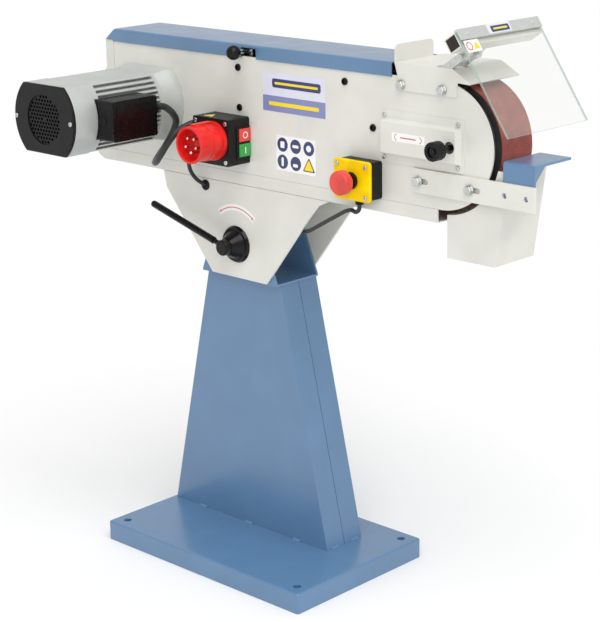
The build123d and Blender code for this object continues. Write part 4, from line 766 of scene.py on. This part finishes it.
@dataclass
class Motor:
    """Flanged motor, its fan cover and its terminal box."""

    edge_mm: float = 0.5

    def build(self) -> int:
        """Finish the motor's nodes.

        Returns:
            How many nodes were finished.
        """
        parts = (("motor_body", Skin.MOTOR), ("motor_end_shield", Skin.MOTOR), ("fan_cover", Skin.MOTOR),
                 ("fan_end_cap", Skin.BLACK), ("terminal_box", Skin.GLOSS_BLACK),
                 ("terminal_box_lid", Skin.GLOSS_BLACK), ("motor_fan", Skin.BLACK),
                 ("motor_shaft", Skin.STEEL))
        for name, skin in parts:
            refine(name, skin, self.edge_mm)
        return len(parts)


@dataclass
class BeltDrive:
    """Abrasive belt, both wheels, the platen and the tensioner."""

    def build(self) -> int:
        """Finish the belt drive's nodes.

        Returns:
            How many nodes were finished.
        """
        parts = (("abrasive_belt", Skin.GRIT, 0.0), ("contact_wheel_tyre", Skin.TYRE, 0.8),
                 ("contact_wheel_core", Skin.CAST, 0.6), ("contact_bearings", Skin.STEEL, 0.3),
                 ("contact_axle", Skin.STEEL, 0.5), ("contact_carriage", Skin.ZINC, 0.5),
                 ("drive_wheel", Skin.CAST, 0.6), ("guide_rail", Skin.ZINC, 0.4),
                 ("platen", Skin.GRAPHITE, 0.5),
                 ("tension_spring", Skin.SPRING, 0.0), ("tension_lever", Skin.ZINC, 0.4),
                 ("tension_knob", Skin.GLOSS_BLACK, 0.0))
        for name, skin, edge in parts:
            refine(name, skin, edge)
        return len(parts)


@dataclass
class Fittings:
    """Fasteners, levers, knobs, the shield and the electrical fittings."""

    sawn_share: float = 0.05

    def build(self) -> int:
        """Finish the fittings' nodes.

        Returns:
            How many nodes were finished.
        """
        parts = (("pivot_bolt", Skin.ZINC, 0.5), ("clamp_lever_hub", Skin.GLOSS_BLACK, 0.6),
                 ("clamp_lever_handle", Skin.GLOSS_BLACK, 0.4), ("hex_bolts", Skin.ZINC, 0.3),
                 ("panel_screws", Skin.BLACK_OXIDE, 0.3), ("pan_head_screws", Skin.ZINC, 0.0),
                 ("shield_hinge", Skin.ZINC, 0.4), ("shield_strip", Skin.MOTOR, 0.3),
                 ("tracking_knob", Skin.GLOSS_BLACK, 0.4), ("door_knob", Skin.BLACK, 0.5),
                 ("switch_box", Skin.BLACK, 0.5), ("cee_inlet", Skin.RED, 0.5),
                 ("cee_pins", Skin.NICKEL, 0.0),
                 ("stop_button", Skin.STOP_RED, 0.3), ("start_button", Skin.GREEN, 0.3),
                 ("estop_box", Skin.BLACK, 0.5), ("estop_plate", Skin.YELLOW, 0.0),
                 ("estop_collar", Skin.BLACK, 0.4), ("estop_mushroom", Skin.STOP_RED, 0.0),
                 ("cable_glands", Skin.BLACK, 0.4), ("motor_cable", Skin.SHEATH, 0.0),
                 ("control_cable", Skin.SHEATH, 0.0))
        for name, skin, edge in parts:
            refine(name, skin, edge)
        self.clear_sheet()
        return len(parts) + 1

    def clear_sheet(self) -> None:
        """Clear sheet with greener sawn edges: a face under sawn_share of the largest is an edge."""
        sheet = refine("shield_glass", Skin.CLEAR, 0.0)
        sheet.data.materials.append(material_of(Skin.CLEAR_EDGE))
        areas = np.empty(len(sheet.data.polygons))
        sheet.data.polygons.foreach_get("area", areas)
        sawn = areas < self.sawn_share * areas.max()
        sheet.data.polygons.foreach_set("material_index", sawn.astype(np.int32))
        sheet.data.update()


# --- Plates and prints ------------------------------------------------------------------------------------

@dataclass(frozen=True)
class Bar:
    """Printed bar with rounded corners: its sides in mm on the face, and the film layer that it lies on."""

    name: str
    left: float
    right: float
    low: float
    high: float
    corner: float
    skin: Skin
    layer: int = 0

    def lay(self, place: Placement, body: str) -> bpy.types.Object:
        """Make the bar on a face, one film's thickness up for each layer under it."""
        outline = rounded_rectangle(self.left, self.right, self.low, self.high, self.corner)
        return film(self.name, outline, place, self.skin, body, base=self.layer * FILM_MM)


@dataclass
class NamePlate:
    """Two-part film on the front panel, with plain bars in place of any lettering."""

    left: float = 34.0
    right: float = 176.0
    low: float = 809.5
    middle: float = 836.0
    high: float = 875.5

    def bars(self) -> tuple[Bar, ...]:
        """Both films, then the bars printed on them."""
        left = self.left
        right = self.right
        return (Bar("name_plate_upper", left, right, self.middle, self.high, 1.5, Skin.FILM_LILAC),
                Bar("name_plate_lower", left, right, self.low, self.middle, 1.5, Skin.FILM_LAVENDER),
                Bar("name_plate_bar", left + 22, right - 10, 850, 865, 4, Skin.FILM_NAVY, 1),
                Bar("name_plate_bar_stripe", left + 28, right - 16, 855.5, 859.5, 1.8, Skin.FILM_YELLOW, 2),
                Bar("name_plate_stripe", left + 14, right - 14, 819.5, 826, 2.5, Skin.FILM_YELLOW, 1))

    def build(self, face_y: float) -> int:
        """Lay the films on the panel.

        Args:
            face_y: y of the panel's front in mm.

        Returns:
            How many pieces were made.
        """
        bars = self.bars()
        for bar in bars:
            bar.lay(front(face_y), "arm")
        return len(bars)


@dataclass
class PictogramPlate:
    """White film with five blue discs and a yellow triangle, all with plain marks."""

    left: float = 63.0
    right: float = 153.0
    low: float = 711.0
    high: float = 771.0
    disc_mm: float = 12.0
    row_inset: float = 15.5
    discs: int = 5
    columns: int = 3
    triangle_outer: float = 16.0
    triangle_inner: float = 12.5
    triangle_drop: float = 2.0

    def build(self, face_y: float) -> int:
        """Lay the plate and its prints on the panel.

        Args:
            face_y: y of the panel's front in mm.

        Returns:
            How many pieces were made.
        """
        face = front(face_y)
        plate = Bar("pictogram_plate", self.left, self.right, self.low, self.high, 2, Skin.FILM_WHITE)
        plate.lay(face, "arm")
        step = (self.right - self.left) / self.columns
        rows = (self.high - self.row_inset, self.low + self.row_inset)
        for index in range(self.discs):
            x = self.left + step * (index % self.columns + 0.5)
            z = rows[index // self.columns]
            film(f"pictogram_disc_{index + 1}", disc(x, z, self.disc_mm), face, Skin.FILM_NAVY, "arm",
                 base=FILM_MM)
            film(f"pictogram_mark_{index + 1}", self.mark(index, x, z), face, Skin.FILM_WHITE, "arm",
                 base=2 * FILM_MM)
        x = self.left + step * (self.columns - 0.5)
        z = rows[1] - self.triangle_drop
        film("pictogram_triangle_edge", triangle(x, z, self.triangle_outer, 1.5), face, Skin.FILM_BLACK,
             "arm", base=FILM_MM)
        film("pictogram_triangle", triangle(x, z, self.triangle_inner, 1), face, Skin.FILM_YELLOW, "arm",
             base=2 * FILM_MM)
        return 2 * self.discs + 3

    def mark(self, index: int, x: float, z: float) -> np.ndarray:
        """Plain mark in a disc: a block, a wide bar, a small disc, an upright bar or a low bar, in turn.

        Args:
            index: which disc, from 0.
            x: the disc's centre across in mm.
            z: the disc's centre upwards in mm.

        Returns:
            Outline points in mm.
        """
        marks = (rounded_rectangle(x - 4.5, x + 4.5, z - 5.5, z + 5.5, 1.5),
                 rounded_rectangle(x - 7, x + 7, z - 2.5, z + 2.5, 2.4),
                 disc(x, z, 5.5),
                 rounded_rectangle(x - 2.5, x + 2.5, z - 7.5, z + 7.5, 2.4),
                 rounded_rectangle(x - 6, x + 5, z - 6, z - 0.5, 2.2))
        return marks[index]


@dataclass
class TurnArrow:
    """Curved band above the clamp lever with a thin double arrow."""

    x: float = -38.0
    z: float = 565.0
    inner: float = 60.0
    outer: float = 71.0
    span: tuple[float, float] = (48.0, 128.0)
    inset: float = 5.0
    line_half: float = 0.8
    head_half: float = 2.6
    head_long: float = 5.0

    def build(self, face_y: float) -> int:
        """Lay the band, the line and its two heads on the bracket.

        Args:
            face_y: y of the bracket's front in mm.

        Returns:
            How many pieces were made.
        """
        face = front(face_y)
        centre = (self.x, self.z)
        ring("turn_band", centre, self.inner, self.outer, face, Skin.FILM_WHITE, "arm", span=self.span)
        middle = (self.inner + self.outer) / 2
        first = self.span[0] + self.inset
        last = self.span[1] - self.inset
        ring("turn_line", centre, middle - self.line_half, middle + self.line_half, face, Skin.FILM_RED,
             "arm", base=FILM_MM, span=(first, last))
        for name, turn, side in (("turn_head_right", first, -1), ("turn_head_left", last, 1)):
            film(name, self.head(middle, math.radians(turn), side), face, Skin.FILM_RED, "arm", base=FILM_MM)
        return 4

    def head(self, radius: float, turn: float, side: int) -> np.ndarray:
        """Arrow head on the circle, pointing along it.

        Args:
            radius: radius of the circle in mm.
            turn: angle of the head's root in radians.
            side: 1 to point anticlockwise, -1 to point clockwise.

        Returns:
            Three corner points in mm, anticlockwise.
        """
        out = np.array([math.cos(turn), math.sin(turn)])
        root = np.array([self.x, self.z]) + radius * out
        ahead = side * np.array([-math.sin(turn), math.cos(turn)])
        corners = np.array([root - self.head_half * out, root + self.head_half * out,
                            root + self.head_long * ahead])
        return corners if side < 0 else corners[::-1]


@dataclass
class TrackingStrip:
    """White strip on the tracking cover, with a red line and an open ring at each end."""

    left_of_middle: float = 18.0
    above_middle: float = 3.0
    half_long: float = 33.0
    half_high: float = 7.0
    mark_at: float = 22.0
    mark_radii: tuple[float, float] = (4.6, 5.6)

    def build(self) -> int:
        """Lay the strip and its marks.

        Returns:
            How many pieces were made.
        """
        low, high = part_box("tracking_cover")
        face = front(low.y / MM)
        x = (low.x + high.x) / 2 / MM - self.left_of_middle
        z = (low.z + high.z) / 2 / MM + self.above_middle
        Bar("tracking_strip", x - self.half_long, x + self.half_long, z - self.half_high, z + self.half_high,
            1.5, Skin.FILM_WHITE).lay(face, "arm")
        for name, side, span in (("tracking_mark_left", -1, (100, 260)),
                                 ("tracking_mark_right", 1, (-80, 80))):
            ring(name, (x + side * self.mark_at, z), *self.mark_radii, face, Skin.FILM_RED, "arm",
                 base=FILM_MM, span=span)
        Bar("tracking_line", x - 16, x + 16, z - 0.9, z + 0.9, 0.8, Skin.FILM_RED, 1).lay(face, "arm")
        return 4


@dataclass
class SwitchPrints:
    """Yellow triangle on top of the switch box, and the marks on its two buttons."""

    triangle_at: tuple[float, float] = (28.0, 14.0)
    triangle_outer: float = 15.0
    triangle_inner: float = 12.6
    ring_radii: tuple[float, float] = (4.2, 5.8)
    bar_half: tuple[float, float] = (0.9, 5.5)

    def build(self) -> int:
        """Lay the triangle and the marks.

        Returns:
            How many pieces were made.
        """
        low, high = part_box("switch_box")
        top = Placement((0.0, 0.0, high.z / MM), (1.0, 0.0, 0.0), (0.0, 1.0, 0.0))
        x = low.x / MM + self.triangle_at[0]
        y = low.y / MM + self.triangle_at[1]
        film("switch_triangle_edge", triangle(x, y, self.triangle_outer, 1.2), top, Skin.FILM_BLACK, "arm")
        film("switch_triangle", triangle(x, y, self.triangle_inner, 1), top, Skin.FILM_YELLOW, "arm",
             base=FILM_MM)
        face, y, z = self.button_face("stop_button")
        ring("stop_ring", (y, z), *self.ring_radii, face, Skin.FILM_WHITE, "stop_button")
        face, y, z = self.button_face("start_button")
        wide, tall = self.bar_half
        bar = Bar("start_bar", y - wide, y + wide, z - tall, z + tall, 0.8, Skin.FILM_WHITE)
        bar.lay(face, "start_button")
        return 4

    def button_face(self, name: str) -> tuple[Placement, float, float]:
        """Outer face of a button that looks towards +X.

        Args:
            name: the button's CAD node.

        Returns:
            The face, and the y and z of its middle in mm.
        """
        low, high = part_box(name)
        face = Placement((high.x / MM, 0.0, 0.0), (0.0, 1.0, 0.0), (0.0, 0.0, 1.0))
        return face, (low.y + high.y) / 2 / MM, (low.z + high.z) / 2 / MM


@dataclass
class ShieldPrints:
    """Plain plate on the shield's strip, a small film on its clear sheet and a dark sheet of painted shade in
    each end of its tube.

    Lengths on the strip and the sheet are in mm from the tube's middle, across and then upwards.
    """

    tilt_degrees: float = 34.2
    tube_middle: tuple[float, float, float] = (470.5, 47.5, 961.5)
    strip_out: float = 18.5
    sheet_out: float = 16.0
    ring_at: tuple[float, float] = (-87.0, -15.0)
    ring_radii: tuple[float, float] = (5.2, 6.8)
    triangle_at: tuple[float, float] = (-71.0, -16.5)
    triangle_mm: float = 8.5
    shade_half: float = 9.9
    # Dark sheets of painted shade in the tube's ends: half their side, how far in they sit and their
    # thickness, in mm.
    shade_inset: float = 3.0
    shade_thick: float = 2.7

    def build(self) -> int:
        """Lay the prints and set the painted shade in the tube's ends.

        Returns:
            How many pieces were made.
        """
        body = "spark_shield"
        strip = self.face(self.strip_out)
        for bar in (Bar("shield_plate", -32, 24, -2, 14, 1, Skin.FILM_LILAC),
                    Bar("shield_plate_bar", -24, 20, 0, 10, 1.5, Skin.FILM_NAVY, 1),
                    Bar("shield_plate_stripe", -19, 15, 3.5, 6.5, 1.2, Skin.FILM_YELLOW, 2)):
            bar.lay(strip, body)
        sheet = self.face(self.sheet_out)
        Bar("shield_film", -96, -62, -25, -5, 1, Skin.FILM_WHITE).lay(sheet, body)
        ring("shield_ring", self.ring_at, *self.ring_radii, sheet, Skin.FILM_RED, body, base=FILM_MM)
        film("shield_triangle", triangle(*self.triangle_at, self.triangle_mm, 0.8), sheet, Skin.FILM_YELLOW,
             body, base=FILM_MM)
        self.tube_shades(body)
        return 8

    def along(self) -> tuple[float, float, float]:
        """Direction up the tilted shield."""
        tilt = math.radians(self.tilt_degrees)
        return (-math.sin(tilt), 0.0, math.cos(tilt))

    def face(self, out: float) -> Placement:
        """Face parallel to the shield, out from the tube's middle by the given mm."""
        tilt = math.radians(self.tilt_degrees)
        normal = np.array([math.cos(tilt), 0.0, math.sin(tilt)])
        return Placement(tuple(np.array(self.tube_middle) + out * normal), (0.0, 1.0, 0.0), self.along())

    def tube_shades(self, body: str) -> None:
        """Set a dark sheet in each end of the shield's square tube: painted shade for its inside, which lies
        in shadow.

        Args:
            body: body that they ride on.
        """
        low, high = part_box("shield_bar")
        x, _, z = self.tube_middle
        half = self.shade_half
        # Painted shade: a dark sheet set just inside each open end of the tube.
        for name, y, side in (("shield_tube_shade_near", low.y / MM, -1), ("shield_tube_shade_far", high.y / MM, 1)):
            across = tuple(np.cross(np.array(self.along()), np.array([0.0, float(side), 0.0])))
            end = Placement((x, y - side * self.shade_inset, z), across, self.along())
            film(name, rounded_rectangle(-half, half, -half, half, 1.2), end, Skin.TUBE_SHADE, body,
                 thick=self.shade_thick)


# --- Studio -----------------------------------------------------------------------------------------------

@dataclass
class Studio:
    """Pale floor, soft lights and the camera. Lengths are in metres but for camera_mm and lens_mm."""

    floor_half: float = 40.0
    world_strength: float = 0.66
    sky_towards: tuple[float, float, float] = (0.42, -0.28, 0.86)
    sky_power: float = 1.75
    sky_spread: float = 50.0
    fill_place: tuple[float, float, float] = (2.2, -2.6, 2.2)
    fill_target: tuple[float, float, float] = (0.1, 0.0, 0.8)
    fill_side: float = 1.4
    fill_power: float = 14.0
    camera_mm: tuple[float, float, float] = (2148.35, -2147.29, 1330.97)
    azimuth: float = 43.91
    elevation: float = 16.16
    roll: float = -0.83
    lens_mm: float = 108.29
    shift: tuple[float, float] = (0.01425, -0.0033)

    def build(self) -> int:
        """Set up the floor, the lights and the camera.

        Returns:
            How many objects were made.
        """
        self.floor()
        self.world()
        self.sky_panel()
        self.softbox()
        self.camera()
        return 4

    def floor(self) -> None:
        """Pale floor under the base."""
        half = self.floor_half
        corners = np.array([[-half, -half, 0], [half, -half, 0], [half, half, 0], [-half, half, 0]])
        mesh = bpy.data.meshes.new("floor")
        mesh.from_pydata(corners.tolist(), [], [[0, 1, 2, 3]])
        mesh.materials.append(material_of(Skin.PAPER))
        floor = bpy.data.objects.new("floor", mesh)
        bpy.context.scene.collection.objects.link(floor)

    def world(self) -> None:
        """Even pale surroundings."""
        world = bpy.data.worlds.new("studio")
        world.use_nodes = True
        tree = world.node_tree
        tree.nodes.clear()
        glow = add_node(tree, "ShaderNodeBackground",
                        {"Color": linear("#ffffff"), "Strength": self.world_strength})
        add_node(tree, "ShaderNodeOutputWorld", links={"Surface": glow.outputs[0]})
        bpy.context.scene.world = world
        bpy.context.scene.view_settings.view_transform = "Standard"

    def sky_panel(self) -> None:
        """Very broad overhead light that is equally bright everywhere on the floor."""
        light = bpy.data.lights.new("overhead_light", "SUN")
        light.energy = self.sky_power
        light.angle = math.radians(self.sky_spread)
        lamp = bpy.data.objects.new("overhead_light", light)
        lamp.matrix_world = Vector(self.sky_towards).to_track_quat("Z", "Y").to_matrix().to_4x4()
        bpy.context.scene.collection.objects.link(lamp)

    def softbox(self) -> None:
        """Square area light that faces the arm from the front."""
        light = bpy.data.lights.new("fill_light", "AREA")
        light.size = self.fill_side
        light.energy = self.fill_power
        lamp = bpy.data.objects.new("fill_light", light)
        aim = Vector(self.fill_target) - Vector(self.fill_place)
        turned = aim.to_track_quat("-Z", "Y").to_matrix().to_4x4()
        lamp.matrix_world = Matrix.Translation(self.fill_place) @ turned
        bpy.context.scene.collection.objects.link(lamp)

    def camera(self) -> None:
        """Camera from the right and a little above, turned by its azimuth, elevation and roll."""
        turn, rise, roll = (math.radians(value) for value in (self.azimuth, self.elevation, self.roll))
        back = Vector((math.sin(turn) * math.cos(rise), -math.cos(turn) * math.cos(rise), math.sin(rise)))
        right = Vector((math.cos(turn), math.sin(turn), 0.0))
        up = back.cross(right)
        across = right * math.cos(roll) + up * math.sin(roll)
        upward = up * math.cos(roll) - right * math.sin(roll)
        data = bpy.data.cameras.new("camera")
        data.sensor_fit = "HORIZONTAL"
        data.sensor_width = 36.0
        data.lens = self.lens_mm
        data.shift_x, data.shift_y = self.shift
        camera = bpy.data.objects.new("camera", data)
        turned = Matrix((across, upward, back)).transposed().to_4x4()
        camera.matrix_world = Matrix.Translation(Vector(self.camera_mm) * MM) @ turned
        bpy.context.scene.collection.objects.link(camera)
        bpy.context.scene.camera = camera


def main() -> None:
    """Build everything in order."""
    logging.basicConfig(level=logging.INFO, format="%(name)s: %(message)s")
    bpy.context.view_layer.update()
    panel_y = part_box("front_panel")[0].y / MM
    bracket_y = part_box("tilt_brackets")[0].y / MM
    counts = {
        "studio": Studio().build(),
        "panelwork": Panelwork().build(),
        "motor": Motor().build(),
        "belt drive": BeltDrive().build(),
        "fittings": Fittings().build(),
        "name plate": NamePlate().build(panel_y),
        "pictogram plate": PictogramPlate().build(panel_y),
        "turn arrow": TurnArrow().build(bracket_y),
        "tracking strip": TrackingStrip().build(),
        "switch prints": SwitchPrints().build(),
        "shield prints": ShieldPrints().build(),
    }
    for name, count in counts.items():
        log.info("%s: %d pieces", name, count)


if __name__ == "__main__":
    main()
